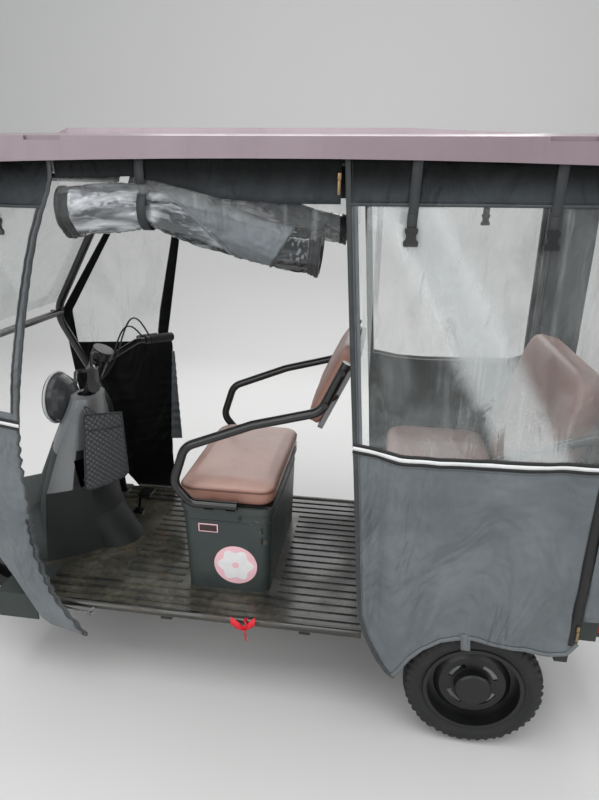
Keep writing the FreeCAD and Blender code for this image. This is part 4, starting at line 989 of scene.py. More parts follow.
@dataclass
class RearCurtain:
    """Side curtain beside the bench: band, window, lower panel, bindings, stripe and straps."""

    top: float = 1.6690
    front_edge: tuple = ((0.331, 1.669), (0.366, 1.086), (0.378, 0.957))
    rear_x: float = 1.012
    band: tuple = ((0.338, 1.548), (0.60, 1.550), (1.012, 1.552))
    stripe: tuple = ((0.378, 0.957), (0.42, 0.951), (0.50, 0.936), (0.60, 0.933), (0.75, 0.938),
                     (0.90, 0.943), (1.012, 0.945))
    lower_front: tuple = ((0.378, 0.957), (0.392, 0.76), (0.404, 0.56), (0.413, 0.44), (0.436, 0.37),
                          (0.470, 0.30), (0.505, 0.250), (0.522, 0.240))
    bottom: tuple = ((0.522, 0.240), (0.540, 0.262), (0.566, 0.308), (0.600, 0.346), (0.650, 0.380),
                     (0.730, 0.399), (0.841, 0.385), (0.943, 0.376), (0.985, 0.384), (1.008, 0.420))
    tab: tuple = (0.716, 0.402)     # small loop at the top of the wheel's arch
    columns: int = 120
    border: int = 7
    finer: float = 0.45             # how much closer the columns are at the borders
    tape_gauge: float = 0.0012
    folds: list = field(default_factory=lambda: [
        Fold((0.44, 0.92), (0.46, 0.40), 0.020, -0.010), Fold((0.50, 0.90), (0.53, 0.36), 0.040, 0.010),
        Fold((0.60, 0.55), (0.56, 0.36), 0.016, -0.006), Fold((0.64, 0.58), (0.60, 0.38), 0.018, 0.006),
        Fold((0.72, 0.60), (0.69, 0.41), 0.022, -0.005), Fold((0.95, 0.62), (0.80, 0.42), 0.030, 0.008),
        Fold((1.00, 0.55), (0.88, 0.40), 0.024, -0.007), Fold((0.80, 0.90), (0.86, 0.45), 0.060, 0.006),
        Fold((0.66, 0.90), (0.64, 0.60), 0.035, -0.005), Fold((1.00, 0.92), (0.97, 0.50), 0.025, -0.006),
        Fold((0.90, 0.93), (0.93, 0.66), 0.030, -0.005),
        Fold((0.47, 1.52), (0.72, 0.96), 0.022, -0.006), Fold((0.43, 1.50), (0.60, 1.12), 0.030, 0.007),
        Fold((0.40, 1.30), (0.43, 1.00), 0.014, -0.005), Fold((0.74, 1.30), (0.86, 0.97), 0.026, 0.006),
        Fold((0.94, 1.50), (0.98, 1.00), 0.024, 0.006), Fold((0.55, 1.66), (0.60, 1.56), 0.016, -0.006),
        Fold((0.70, 1.66), (0.66, 1.56), 0.020, 0.005), Fold((0.90, 1.66), (0.86, 1.56), 0.018, -0.005)])

    def stands(self, x: float, z: float) -> float:
        """How far the cloth stands out from its plane."""
        free = 1 - math.exp(-((self.top - z) / 0.05) ** 2)
        out = 1.8 * sum(fold.rise(x, z) for fold in self.folds)
        out += 0.006 * noise.noise(Vector((x * 5, z * 2.4, 3.1)))
        out += 0.0022 * noise.noise(Vector((x * 24, z * 9, 7.7)))
        if z > 1.53:
            out += 0.0028 * noise.noise(Vector((x * 46, z * 12, 1.7)))
        return max(-0.011, min(0.016, out)) * free

    def rows(self) -> tuple[np.ndarray, int, int]:
        """Places of the whole curtain.

        Returns:
            Points by row and column in the side view, and the rows where the window starts and ends.
        """
        n = self.columns
        low_rows, window_rows, band_rows = 46, 46, 12
        stripe = self._columns(self.stripe)
        band = self._columns(self.band)
        top = self._columns(((0.331, self.top), (self.rear_x, self.top)))
        left = resample(self.lower_front[::-1], low_rows)
        right = resample((self.bottom[-1], (self.rear_x, 0.945)), low_rows)
        lower = coons(resample(self.bottom, n), stripe, left, right)
        lower[:, :, 0] = np.clip(lower[:, :, 0], None, self.rear_x)
        parts = [lower]
        for a, b, count in ((stripe, band, window_rows), (band, top, band_rows)):
            t = np.linspace(0, 1, count + 1)[1:, None, None]
            parts.append((1 - t) * a[None] + t * b[None])
        return np.concatenate(parts), low_rows - 1, low_rows - 1 + window_rows

    def _columns(self, points: Sequence) -> np.ndarray:
        """Places along a curve of the side view, closer together at both borders."""
        even = resample(points, 4 * self.columns)
        t = np.linspace(0, 1, self.columns)
        t = t - self.finer * np.sin(2 * math.pi * t) / (2 * math.pi)
        return even[np.rint(t * (len(even) - 1)).astype(int)]

    def place(self, x: float, z: float, lift: float = 0.0) -> Point:
        """Point of the curtain's outer face, or lifted off it, on the left side."""
        return x, -(SIDE_Y + 0.001 + self.stands(x, z) + lift), z

    def build(self) -> dict[str, bpy.types.Object]:
        """Makes the left curtain's pieces.

        Returns:
            Pieces by what they are.
        """
        grid, low, high = self.rows()
        rows, columns = grid.shape[:2]
        points = [self.place(*grid[r, c]) for r in range(rows) for c in range(columns)]

        def kind(row: int, column: int) -> int:
            """What lies at a row and column."""
            if low <= row < high and self.border <= column < columns - 1 - self.border:
                return 2
            return int(row >= high)
        cloth, window = cloth_and_window("rear_curtain", points, rows, columns, kind, Finish.VINYL)
        return {"cloth": sheet(cloth, CLOTH_GAUGE, 1), "window": sheet(window, VINYL_GAUGE),
                "stripe": self._stripe(), "binding": self._binding(grid, low, high),
                "stitches": self._stitches(grid, low, high)}

    def _ribbon(self, line: Sequence, width: float, lift: float, finish: Finish,
               along: int = 90) -> bpy.types.Object:
        """Flat strip that follows the curtain's face along a line of the side view."""
        return strip_along(resample(line, along), width, lambda x, z: self.place(x, z, lift), finish,
                           self.tape_gauge)

    def _stripe(self) -> bpy.types.Object:
        """Sewn strip under the window, a white line between two black ones, and the loop at the hem."""
        parts = [self._ribbon(np.array(self.stripe) + (0, shift), 0.010, lift, finish)
                 for shift, lift, finish in ((0.0, 0.0022, Finish.STRIPE_WHITE),
                                             (0.0095, 0.0018, Finish.STRIPE_BLACK),
                                             (-0.0095, 0.0018, Finish.STRIPE_BLACK))]
        x, z = self.tab
        y = self.place(x, z, 0.001)[1]
        parts.append(flat_strap([(x, y, z + 0.012), (x + 0.001, y - 0.001, z - 0.014),
                                 (x + 0.004, y - 0.001, z - 0.040)], 0.026, Finish.HEM))
        return joined("rear_curtain_stripe", parts)

    def _binding(self, grid: np.ndarray, low: int, high: int) -> bpy.types.Object:
        """Dark tape on the curtain's edges and round its window."""
        parts = [self._ribbon(line, width, 0.0012, finish, along) for line, width, finish, along in (
            (grid[:, 0] + (0.006, 0), 0.012, Finish.BINDING, 150),
            (grid[:, -1] - (0.012, 0), 0.024, Finish.STRIPE_BLACK, 150),
            (grid[0] + (0, 0.006), 0.012, Finish.HEM, 150), (grid[high], 0.007, Finish.BINDING, 90))]
        parts += [self._ribbon(grid[low:high + 1, column], 0.008, 0.0010, Finish.CLOTH)
                  for column in (self.border, -1 - self.border)]
        return joined("rear_curtain_binding", parts)

    def _stitches(self, grid: np.ndarray, low: int, high: int) -> bpy.types.Object:
        """Rows of stitches beside the hem, the band and the front edge."""
        lines = (grid[0] + (0, 0.014), grid[high] + (0, 0.010), grid[4:, 0] + (0.016, 0),
                 grid[low] - (0, 0.020))
        paths = [[self.place(x, z, 0.0016) for x, z in line] for line in lines]
        return stitch_rows("rear_curtain_stitches", paths, 0.0065, Finish.BINDING)


def stitch_rows(name: str, paths: Sequence[Sequence[Point]], pitch: float,
                finish: Finish) -> bpy.types.Object:
    """Stitches spaced along paths by a node tree.

    Args:
        name: piece name.
        paths: points of each row.
        pitch: distance from stitch to stitch.
        finish: thread finish.

    Returns:
        One mesh with every stitch.
    """
    mesh = bpy.data.meshes.new(name)
    points, edges = [], []
    for path in paths:
        edges += [(len(points) + i, len(points) + i + 1) for i in range(len(path) - 1)]
        points += path
    mesh.from_pydata(points, edges, [])
    obj = linked(name, mesh)
    tree = StitchTree().tree
    modifier = obj.modifiers.new("stitches", "NODES")
    modifier.node_group = tree
    values = {"Pitch": pitch, "Thread": finish.material()}
    for item in tree.interface.items_tree:
        if item.item_type == "SOCKET" and item.in_out == "INPUT" and item.name in values:
            modifier[item.identifier] = values[item.name]
    return smooth(apply_modifiers(obj))


class StitchTree:
    """Node tree that lays short threads along the edges of a mesh."""

    name = "stitches_on_path"

    def __init__(self) -> None:
        """Finds the tree or builds it."""
        self.tree = bpy.data.node_groups.get(self.name) or self._build()

    def _build(self) -> bpy.types.NodeTree:
        """Builds the tree with its named inputs.

        Returns:
            The node tree.
        """
        tree = bpy.data.node_groups.new(self.name, "GeometryNodeTree")
        face = tree.interface
        face.new_socket("Geometry", in_out="INPUT", socket_type="NodeSocketGeometry")
        for label, value in (("Pitch", 0.0065), ("Length", 0.0042), ("Radius", 0.0006)):
            face.new_socket(label, in_out="INPUT", socket_type="NodeSocketFloat").default_value = value
        face.new_socket("Thread", in_out="INPUT", socket_type="NodeSocketMaterial")
        face.new_socket("Geometry", in_out="OUTPUT", socket_type="NodeSocketGeometry")
        kinds = {
            "in": "NodeGroupInput", "out": "NodeGroupOutput", "curve": "GeometryNodeMeshToCurve",
            "spread": "GeometryNodeResampleCurve", "keep": "GeometryNodeCaptureAttribute",
            "tangent": "GeometryNodeInputTangent", "points": "GeometryNodeCurveToPoints",
            "aim": "FunctionNodeAlignEulerToVector", "thread": "GeometryNodeMeshCylinder",
            "place": "GeometryNodeInstanceOnPoints", "real": "GeometryNodeRealizeInstances",
            "paint": "GeometryNodeSetMaterial"}
        nodes = {key: tree.nodes.new(kind) for key, kind in kinds.items()}
        nodes["spread"].mode, nodes["points"].mode, nodes["aim"].axis = "LENGTH", "EVALUATED", "Z"
        nodes["thread"].inputs["Vertices"].default_value = 5
        nodes["keep"].capture_items.new("VECTOR", "Way")
        for source, output, sink, target in (
                ("in", "Geometry", "curve", 0), ("curve", 0, "spread", "Curve"),
                ("in", "Pitch", "spread", "Length"), ("spread", 0, "keep", "Geometry"),
                ("tangent", 0, "keep", "Way"), ("keep", "Geometry", "points", 0),
                ("points", "Points", "place", "Points"), ("keep", "Way", "aim", "Vector"),
                ("aim", 0, "place", "Rotation"), ("in", "Radius", "thread", "Radius"),
                ("in", "Length", "thread", "Depth"), ("thread", "Mesh", "place", "Instance"),
                ("place", 0, "real", 0), ("real", 0, "paint", "Geometry"),
                ("in", "Thread", "paint", "Material"), ("paint", 0, "out", 0)):
            tree.links.new(nodes[source].outputs[output], nodes[sink].inputs[target])
        return tree


@dataclass
class FrontCurtain:
    """Side curtain ahead of the door opening, with its window and its ruffled tail."""

    top: float = 1.6535
    turn_x: float = -0.360
    turn: float = 13.0
    rear_edge: tuple = ((-0.431, 0.251), (-0.507, 0.327), (-0.547, 0.391), (-0.586, 0.526), (-0.593, 0.675),
                        (-0.592, 0.832), (-0.565, 1.011), (-0.511, 1.216), (-0.452, 1.396), (-0.409, 1.499),
                        (-0.362, 1.592), (-0.360, 1.6535))
    front_edge: tuple = ((-0.545, 0.233), (-0.605, 0.252), (-0.651, 0.315), (-0.698, 0.379), (-0.752, 0.448),
                         (-0.812, 0.560), (-0.852, 0.760), (-0.884, 1.098), (-0.590, 1.560), (-0.560, 1.6535))
    low: float = 0.240
    window_low: float = 0.965
    window_high: float = 1.530
    tail_high: float = 0.62         # height below which the rear edge has a dark tape
    tape_gauge: float = 0.0014
    rows: int = 150
    columns: int = 44
    border: int = 4
    flap: tuple | None = None       # lowest and highest place of a flap turned back at the rear edge
    folds: list = field(default_factory=lambda: [
        Fold((-0.80, 0.82), (-0.62, 0.80), 0.010, -0.005), Fold((-0.76, 0.70), (-0.60, 0.71), 0.010, -0.005),
        Fold((-0.70, 0.90), (-0.66, 0.60), 0.030, 0.006), Fold((-0.60, 1.35), (-0.75, 1.02), 0.030, 0.007),
        Fold((-0.52, 1.45), (-0.62, 1.10), 0.020, -0.006), Fold((-0.50, 1.60), (-0.47, 1.54), 0.014, -0.005)])

    def stands(self, x: float, z: float, across: float) -> float:
        """How far the cloth stands out; across runs from the front edge (0) to the rear edge (1)."""
        free = 1 - math.exp(-((self.top - z) / 0.05) ** 2)
        out = sum(fold.rise(x, z) for fold in self.folds)
        out += 0.0035 * noise.noise(Vector((x * 8, z * 4, 5.2)))
        pucker = math.exp(-((1 - across) / 0.16) ** 2) * (1.0 if z < 0.9 else 0.25)
        pucker += 0.5 * math.exp(-((0.56 - z) / 0.14) ** 2)
        pucker *= 0.35 + 1.3 * abs(noise.noise(Vector((across * 2, z * 8, 4.4))))
        out += pucker * 0.0050 * math.sin(z * 150 + 9 * noise.noise(Vector((x * 3, z * 7, 0.3))))
        for crease in (0.645, 0.745):
            out -= 0.004 * math.exp(-((z - crease) / 0.006) ** 2) * (1 - across)
        return max(-0.010, min(0.012, out)) * free

    def place(self, x: float, z: float, across: float, lift: float = 0.0) -> Point:
        """Point of the left curtain, turned in plan towards the pillar."""
        t = math.radians(self.turn)
        along, out = x - self.turn_x, self.stands(x, z, across) + lift + 0.001
        return (self.turn_x + along * math.cos(t) - out * math.sin(t),
                -SIDE_Y - along * math.sin(t) - out * math.cos(t), z)

    def build(self) -> dict[str, bpy.types.Object]:
        """Makes the left curtain's pieces."""
        levels = snapped(np.linspace(self.low, self.top, self.rows), (self.window_low, self.window_high))
        curved = [np.array([p[:2] for p in curve_points([(x, z, 0) for x, z in edge], 8)])
                  for edge in (self.front_edge[:7], self.rear_edge)]
        curved[0] = np.concatenate([curved[0], self.front_edge[7:]])
        front, rear = (np.interp(levels, edge[:, 1], edge[:, 0])[:, None] for edge in curved)
        across = np.arange(self.columns) / (self.columns - 1)
        spots = np.broadcast_arrays(front + (rear - front) * across, levels[:, None], across)
        spots = np.stack(spots, axis=-1)
        points = [self.place(*spot) for spot in spots.reshape(-1, 3)]

        def kind(row: int, column: int) -> int:
            """What lies at a row and column."""
            z, last = levels[row], self.columns - 1 - self.border
            if self.window_low <= z < self.window_high and self.border <= column < last:
                return 2
            return int(z >= self.window_high)
        cloth, window = cloth_and_window("front_curtain", points, self.rows, self.columns, kind, Finish.VINYL)
        return {"cloth": sheet(cloth, CLOTH_GAUGE, 1), "window": sheet(window, VINYL_GAUGE),
                "trim": self._trim(spots, levels)}

    def _strip(self, line: Sequence, width: float | Callable[[float], float], lift: float,
               finish: Finish) -> bpy.types.Object:
        """Flat strip along a line of (x, z, across) places; its width may change with z."""
        return strip_along(resample(line, 120), width, lambda x, z, a: self.place(x, z, a, lift), finish,
                           self.tape_gauge)

    def _trim(self, spots: np.ndarray, levels: np.ndarray) -> bpy.types.Object:
        """Dark tape along the rear edge, the window's tape, the stripe under it and the turned-back flap."""
        rear = spots[:, -1]
        seam = spots[(self.window_low <= levels) & (levels <= self.window_high), -self.border - 1]
        parts = [self._strip(rear - (0.004, 0, 0), 0.011, 0.002, Finish.BINDING),
                 self._strip(seam, 0.006, 0.0014, Finish.BINDING)]
        for z, width, finish in ((0.930, 0.010, Finish.STRIPE_WHITE), (0.9395, 0.009, Finish.STRIPE_BLACK),
                                 (0.9205, 0.009, Finish.STRIPE_BLACK),
                                 (self.window_high, 0.007, Finish.BINDING)):
            level = spots[np.argmin(abs(levels - z))] * (1, 0, 1) + (0, z, 0)
            parts.append(self._strip(level, width, 0.0022, finish))
        tail = rear[levels < self.tail_high] - (0.014, 0, 0)
        parts.append(self._strip(tail, 0.010, 0.0026, Finish.CLOTH_DARK_AND_SHADED))
        if self.flap:
            low, high = self.flap

            def wedge(z: float) -> float:
                """Width of the flap, which widens downwards."""
                return 0.048 - 0.038 * (z - low) / (high - low)
            turned = [(x + wedge(z) / 2 - 0.002, z, a) for x, z, a in rear[(low < levels) & (levels < high)]]
            parts.append(self._strip(turned, wedge, -0.004, Finish.HEM))
        return joined("front_curtain_trim", parts)


# The right front curtain hangs further back than the left one
RIGHT_REAR_EDGE = ((-0.431, 0.251), (-0.462, 0.330), (-0.474, 0.450), (-0.462, 0.700), (-0.448, 0.944),
                   (-0.464, 0.986), (-0.446, 1.100), (-0.398, 1.379), (-0.384, 1.480), (-0.362, 1.592),
                   (-0.360, 1.6535))
RIGHT_FLAP = (0.52, 0.93)


@dataclass
class BackCurtain:
    """Curtain across the back that wraps round both rear corners, with its window."""

    zip_x: float = 1.012
    rear_x: float = 1.122
    turn: float = 0.060
    low: float = 0.500
    high: float = 1.664
    window: tuple = (0.300, 1.000, 1.500)       # half width and heights of its lower and upper edge
    rows: int = 60
    columns: int = 150

    def build(self) -> dict[str, bpy.types.Object]:
        """Makes the curtain's cloth and window."""
        path = [(self.zip_x + 0.0005, -SIDE_Y)]
        for k in range(9):
            a = math.pi / 2 * k / 8
            path.append((self.rear_x - self.turn + self.turn * math.sin(a),
                         -SIDE_Y + self.turn - self.turn * math.cos(a)))
        path += [(x, -y) for x, y in path[::-1]]
        half_width, window_low, window_high = self.window
        line = resample(path, self.columns)
        levels = snapped(np.linspace(self.low, self.high, self.rows), (window_low, window_high))
        points = []
        for z in levels:
            for i, (x, y) in enumerate(line):
                way = line[min(i + 1, self.columns - 1)] - line[max(i - 1, 0)]
                way /= max(np.linalg.norm(way), 1e-9)
                out = 0.004 * noise.noise(Vector((x * 3, y * 7, z * 2.5)))
                out += 0.002 * noise.noise(Vector((x * 20, y * 20, z * 6)))
                out *= 1 - math.exp(-((self.high - z) / 0.05) ** 2)
                points.append((x + way[1] * out, y - way[0] * out, z))

        def kind(row: int, column: int) -> int:
            """What lies at a row and column."""
            y = (line[column][1] + line[column + 1][1]) / 2
            inside = window_low <= levels[row] < window_high and abs(y) < half_width
            return 2 * int(inside and line[column][0] > self.rear_x - 0.01)

        def out(at: Vector) -> Vector:
            """Way outwards, to the side or to the rear."""
            return Vector((max(at.x - 0.9, 0.0), at.y, 0.0))
        cloth, window = cloth_and_window("back_curtain", points, self.rows, self.columns, kind,
                                         Finish.VINYL_FAR)
        return {"cloth": sheet(cloth, CLOTH_GAUGE, out=out), "window": sheet(window, VINYL_GAUGE, out=out)}


@dataclass
class DoorRoll:
    """Rolled-up door curtain in its strap, under the band that it hangs from."""

    line: tuple = ((-0.346, -0.447, 1.516), (-0.245, -0.447, 1.526), (-0.118, -0.447, 1.531),
                   (0.016, -0.447, 1.497), (0.130, -0.447, 1.462), (0.200, -0.447, 1.444),
                   (0.270, -0.447, 1.436))
    radius: float = 0.045
    around: int = 72
    along: int = 200
    band_top: float = 1.669
    band_low: tuple = ((-0.352, 1.596), (-0.16, 1.602), (-0.09, 1.590), (0.05, 1.556), (0.18, 1.547),
                       (0.326, 1.548))
    tape: float = 0.030         # share of the length that the wound zip tape covers at each end
    seam_turn: int = 112        # degrees that a seam reaches above and below the outer side
    seam_steps: int = 59
    strap_x: float = -0.142

    def radius_at(self, t: float, turn: float) -> float:
        """Radius of the roll along its length and round it, with layers that run along it."""
        around = (math.cos(turn), math.sin(turn))
        base = self.radius * (1.22 - 0.20 * t) * (1 - 0.20 * math.exp(-((t - 0.31) / 0.05) ** 2))
        base *= 1 + 0.06 * math.sin(turn - t * 7.5)
        base += 0.0065 * noise.noise(Vector((t * 5, around[0] * 2.2 + t * 2, around[1] * 2.2)))
        base += 0.0050 * abs(noise.noise(Vector((t * 9, around[0] * 5, around[1] * 5 + t * 4))))
        base += 0.0022 * noise.noise(Vector((t * 44, around[0] * 6, around[1] * 6 + t * 9)))
        if self.taped(t):
            base += 0.0035 + 0.0012 * math.sin(t * 900)
        return min(base, self.radius * 1.30)

    def taped(self, t: float) -> bool:
        """Whether wound zip tape covers this place, near either end."""
        return t < self.tape + 0.012 or t > 1 - self.tape - 0.008

    def cloth_from(self, turn: float) -> float:
        """Share of the length at which the cloth's slanting stitched edge crosses a turn."""
        return 0.475 - 0.145 * math.sin(turn)

    def cloth_to(self, turn: float) -> float:
        """Share of the length at which the cloth ends and darker clear sheet shows."""
        return 0.81 + 0.05 * math.sin(turn)

    def _surface(self, path: Sequence[Vector], t: float, turn: float, lift: float = 0.0) -> Vector:
        """Point of the roll's surface at a share of its length and a turn from the outer side upwards."""
        at = min(t, 1.0) * (len(path) - 1)
        i = min(int(at), len(path) - 2)
        centre = path[i].lerp(path[i + 1], at - i)
        way = (path[i + 1] - path[i]).normalized()
        side = Vector((0, -1, 0))
        up = side.cross(way).normalized()
        up = up if up.z > 0 else -up
        r = self.radius_at(t, turn) + lift
        return centre + side * (math.cos(turn) * r * 0.92) + up * (math.sin(turn) * r * 1.05)

    def build(self) -> dict[str, bpy.types.Object]:
        """Makes the left roll, its band, the clear strip below the band and its strap."""
        path = curve_points(self.line, 20)
        turns = [2 * math.pi * k / self.around for k in range(self.around)]
        points = [self._surface(path, i / self.along, turn) for i in range(self.along + 1) for turn in turns]
        faces = grid_faces(self.along + 1, self.around, True)
        body = mesh_object("door_roll", points, faces, Finish.ROLLED_VINYL)
        for finish in (Finish.CLOTH, Finish.ROLLED_DARK, Finish.ZIP_TAPE):
            body.data.materials.append(finish.material())
        for i, face in enumerate(body.data.polygons):
            t, turn = (i // self.around + 0.5) / self.along, turns[i % self.around]
            layer = int(t > self.cloth_from(turn)) + int(t > self.cloth_to(turn))
            face.material_index = 3 if self.taped(t) else layer
        parts = [outward(body)] + self._ends(points, self.along + 1)
        parts += [self._seam(path, self.cloth_from, 0.010, Finish.HEM),
                  self._seam(path, self.cloth_to, 0.006, Finish.BINDING)]
        return {"roll": joined("door_roll_left", parts), "band": self._band(), "strap": self._strap()}

    def _seam(self, path: Sequence[Vector], where: Callable[[float], float], width: float,
              finish: Finish) -> bpy.types.Object:
        """Folded edge of a layer, laid over the roll's outer side."""
        length = sum((b - a).length for a, b in zip(path, path[1:]))
        steps = self.seam_steps
        turns = [math.radians(self.seam_turn * (1 - 2 * k / steps)) for k in range(steps + 1)]
        points = [self._surface(path, where(turn) + shift * width / length, turn, 0.0016)
                  for turn in turns for shift in (-0.5, 0.5)]
        seam = mesh_object("seam", points, grid_faces(steps + 1, 2), finish)
        return outward(thicken(seam, 0.002, offset=0.0))

    def _ends(self, points: Sequence, count: int) -> list[bpy.types.Object]:
        """Wound ends of the roll, each a spiral edge of zip tape round a recessed middle."""
        parts = []
        for start, way in ((0, -1.0), ((count - 1) * self.around, 1.0)):
            ring = points[start:start + self.around]
            centre, rings = sum(ring, Vector()) / self.around, [ring]
            for scale, push in ((1.05, 0.003), (1.05, 0.010), (0.84, 0.011), (0.82, 0.004), (0.62, 0.003),
                                (0.60, 0.009), (0.42, 0.009), (0.40, 0.002), (0.05, 0.001)):
                rings.append([centre + (p - centre) * scale + Vector((way * push, 0, 0)) for p in ring])
            last = (len(rings) - 1) * self.around
            faces = grid_faces(len(rings), self.around, True) + [tuple(range(last, last + self.around))]
            parts.append(outward(mesh_object("end", [p for r in rings for p in r], faces, Finish.ZIP_TAPE)))
        return parts

    def _band(self) -> bpy.types.Object:
        """Cloth band from the rail down, with a clear strip below it where the roll hangs lower."""
        low, parts = resample(self.band_low, 60), []
        for rows, start, top, inset, finish in (
                # the dark band carries painted shade that deepens up towards the rail
                (10, 0.0, lambda x: self.band_top, 0.0, Finish.CLOTH_DARK_AND_SHADED),
                (12, 1.0, lambda x: self.height(x) + 0.02, 0.004, Finish.VINYL)):
            points = []
            for r in range(rows):
                for x, z in low:
                    z += (top(x) - z) * abs(start - r / (rows - 1))
                    out = 0.003 * noise.noise(Vector((x * 14, z * 8, 2.2)))
                    out *= min(1, (self.band_top - z) / 0.05)
                    points.append((x, -(SIDE_Y - 0.001 + out - inset), z))
            band = mesh_object("band", points, grid_faces(rows, len(low)), finish)
            parts.append(thicken(face_left(band), 0.0016))
        return joined("door_band_left", parts)

    def height(self, x: float) -> float:
        """Height of the roll's middle line."""
        return float(np.interp(x, [p[0] for p in self.line], [p[2] for p in self.line]))

    def _strap(self) -> bpy.types.Object:
        """Webbing looped round the roll."""
        x, r = self.strap_x, self.radius * 0.98
        path = [(x, -0.487, 1.655), (x, -0.493, 1.60)]
        for k in range(15):
            a = math.radians(60 - k * 20)
            path.append((x - 0.004 * k / 14, self.line[0][1] - math.cos(a) * (r + 0.004),
                         self.height(x) + math.sin(a) * (r + 0.006)))
        return flat_strap(path, 0.022, Finish.WEBBING)


def flat_strap(path: Sequence[Point], width: float, finish: Finish) -> bpy.types.Object:
    """Flat webbing along a path, its width along X."""
    line = curve_points(path, 4)
    points = [at + Vector((side * width / 2, 0, 0)) for at in line for side in (-1, 1)]
    strap = mesh_object("strap", points, grid_faces(len(line), 2), finish)
    return outward(thicken(strap, CLOTH_GAUGE, offset=0.0))


def buckle(x: float, y: float, z: float) -> bpy.types.Object:
    """Half of a side-release buckle at a strap's end: a bar with two prongs below a waist."""
    half = [(0.015, 0.0), (0.015, -0.008), (0.011, -0.016), (0.012, -0.024), (0.017, -0.030), (0.016, -0.040)]
    outline = [(-0.015, 0.0), *half, *((-u, w) for u, w in half[:0:-1])]
    front, back = ([(x + u, y + depth, z + w) for u, w in outline] for depth in (-0.005, 0.005))
    return rounded(prism("buckle", front, back, Finish.BLACK), 0.0012)


def girdle(node: str, height: float, lift: float, steps: int = 160) -> list[Vector]:
    """Closed line round a solid's outside at a height, lifted off it."""
    tree = BVHTree.FromObject(bpy.data.objects[node], bpy.context.evaluated_depsgraph_get())
    low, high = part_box(node)
    centre = (low + high) / 2
    line = []
    for k in range(steps + 1):
        turn = 2 * math.pi * k / steps
        way = Vector((math.cos(turn), math.sin(turn), 0.0))
        start = Vector((centre.x, centre.y, height)) + way * 2.0
        hit = tree.ray_cast(start, -way)[0]
        if hit is not None:
            line.append(hit + way * lift)
    return line


# Sheets: node that each stands for, flat size, and the area where it is no rectangle
SHEETS = {
    "rear_curtain_cloth": ("rear_curtains", (0.69, 1.43), 0.55),
    "rear_curtain_window": ("rear_windows", (0.55, 0.60), None),
    "front_curtain_cloth": ("front_curtains", (0.53, 1.42), 0.23),
    "front_curtain_cloth_right": ("front_curtains", (0.53, 1.42), 0.34),
    "front_curtain_window": ("front_windows", (0.34, 0.57), 0.13),
    "back_curtain_cloth": ("back_curtain", (1.16, 1.17), 1.06),
    "back_curtain_window": ("back_window", (0.60, 0.50), None),
}


@dataclass
class Curtains:
    """All the rain curtains with their straps."""

    strap_stations: tuple = (0.491, 0.792)
    front_strap_x: float = -0.548
    strap_end: float = 1.500

    def build(self) -> None:
        """Makes every curtain on both sides and at the back."""
        rear, front = RearCurtain(), FrontCurtain()
        left = {"rear_curtain_" + key: piece for key, piece in rear.build().items()}
        left.update({"front_curtain_" + key: piece for key, piece in front.build().items()})
        far = FrontCurtain(rear_edge=RIGHT_REAR_EDGE, flap=RIGHT_FLAP)
        right = {"front_curtain_" + key: piece for key, piece in far.build().items()}
        left.update({"door_" + key: piece for key, piece in DoorRoll().build().items()})
        for i, x in enumerate(self.strap_stations):
            left[f"hanging_strap_{i + 1}"] = self._hanging_strap(
                lambda z, slack, x=x: rear.place(x - 0.03 * (1.66 - z), z, slack))
        left["hanging_strap_front"] = self._hanging_strap(
            lambda z, slack: front.place(self.front_strap_x, z, 0.5, slack))
        for kind, piece in left.items():
            for side in ("left", "right"):
                obj = piece if side == "left" else mirror_copy("copy", right.get(kind, piece))
                obj.name = f"{kind}_{side}"
                self._declare(obj, kind)
        for piece in right.values():
            bpy.data.objects.remove(piece)
        for key, piece in BackCurtain().build().items():
            piece.name = "back_curtain_" + key
            self._declare(piece, piece.name)
        self._slider()

    def _declare(self, obj: bpy.types.Object, kind: str) -> None:
        """Fixes a piece to the body and hides the node that it stands for."""
        if kind == "door_roll":
            settle(obj, "root", "door_rolls")
            return
        node, flat, area = SHEETS.get(obj.name) or SHEETS.get(kind) or ("", None, None)
        settle(obj, "root", node)

    def _hanging_strap(self, place: Callable[[float, float], Point]) -> bpy.types.Object:
        """Webbing that hangs from the rail, with half of a buckle at its end."""
        end = self.strap_end
        path = [place(z, 0.004 + 0.010 * max(0.0, 1.62 - z)) for z in (1.650, 1.62, 1.58, 1.54, end)]
        x, y = path[-1][:2]
        loop = [(x, y - out, end + up) for out, up in ((0.003, 0.03), (0.006, 0.01), (0.003, -0.002))]
        straps = [flat_strap(line, 0.022, Finish.WEBBING) for line in (path, loop)]
        return joined("hanging_strap", straps + [buckle(x, y - 0.003, end)])

    def _slider(self) -> None:
        """Zip sliders with their pulls: at the top of the door opening and low on the rear zip."""
        parts = []
        for x, z in ((0.322, 1.598), (1.001, 0.470)):
            parts += [box_mesh((x - 0.004, -0.500, z), (x + 0.004, -0.493, z + 0.016), Finish.BRASS, 0.0015),
                      box_mesh((x - 0.003, -0.502, z - 0.030), (x + 0.003, -0.500, z), Finish.BRASS, 0.0008)]
        settle(joined("zip_slider_left", parts), "root")


# ---------------------------------------------------------------- seats

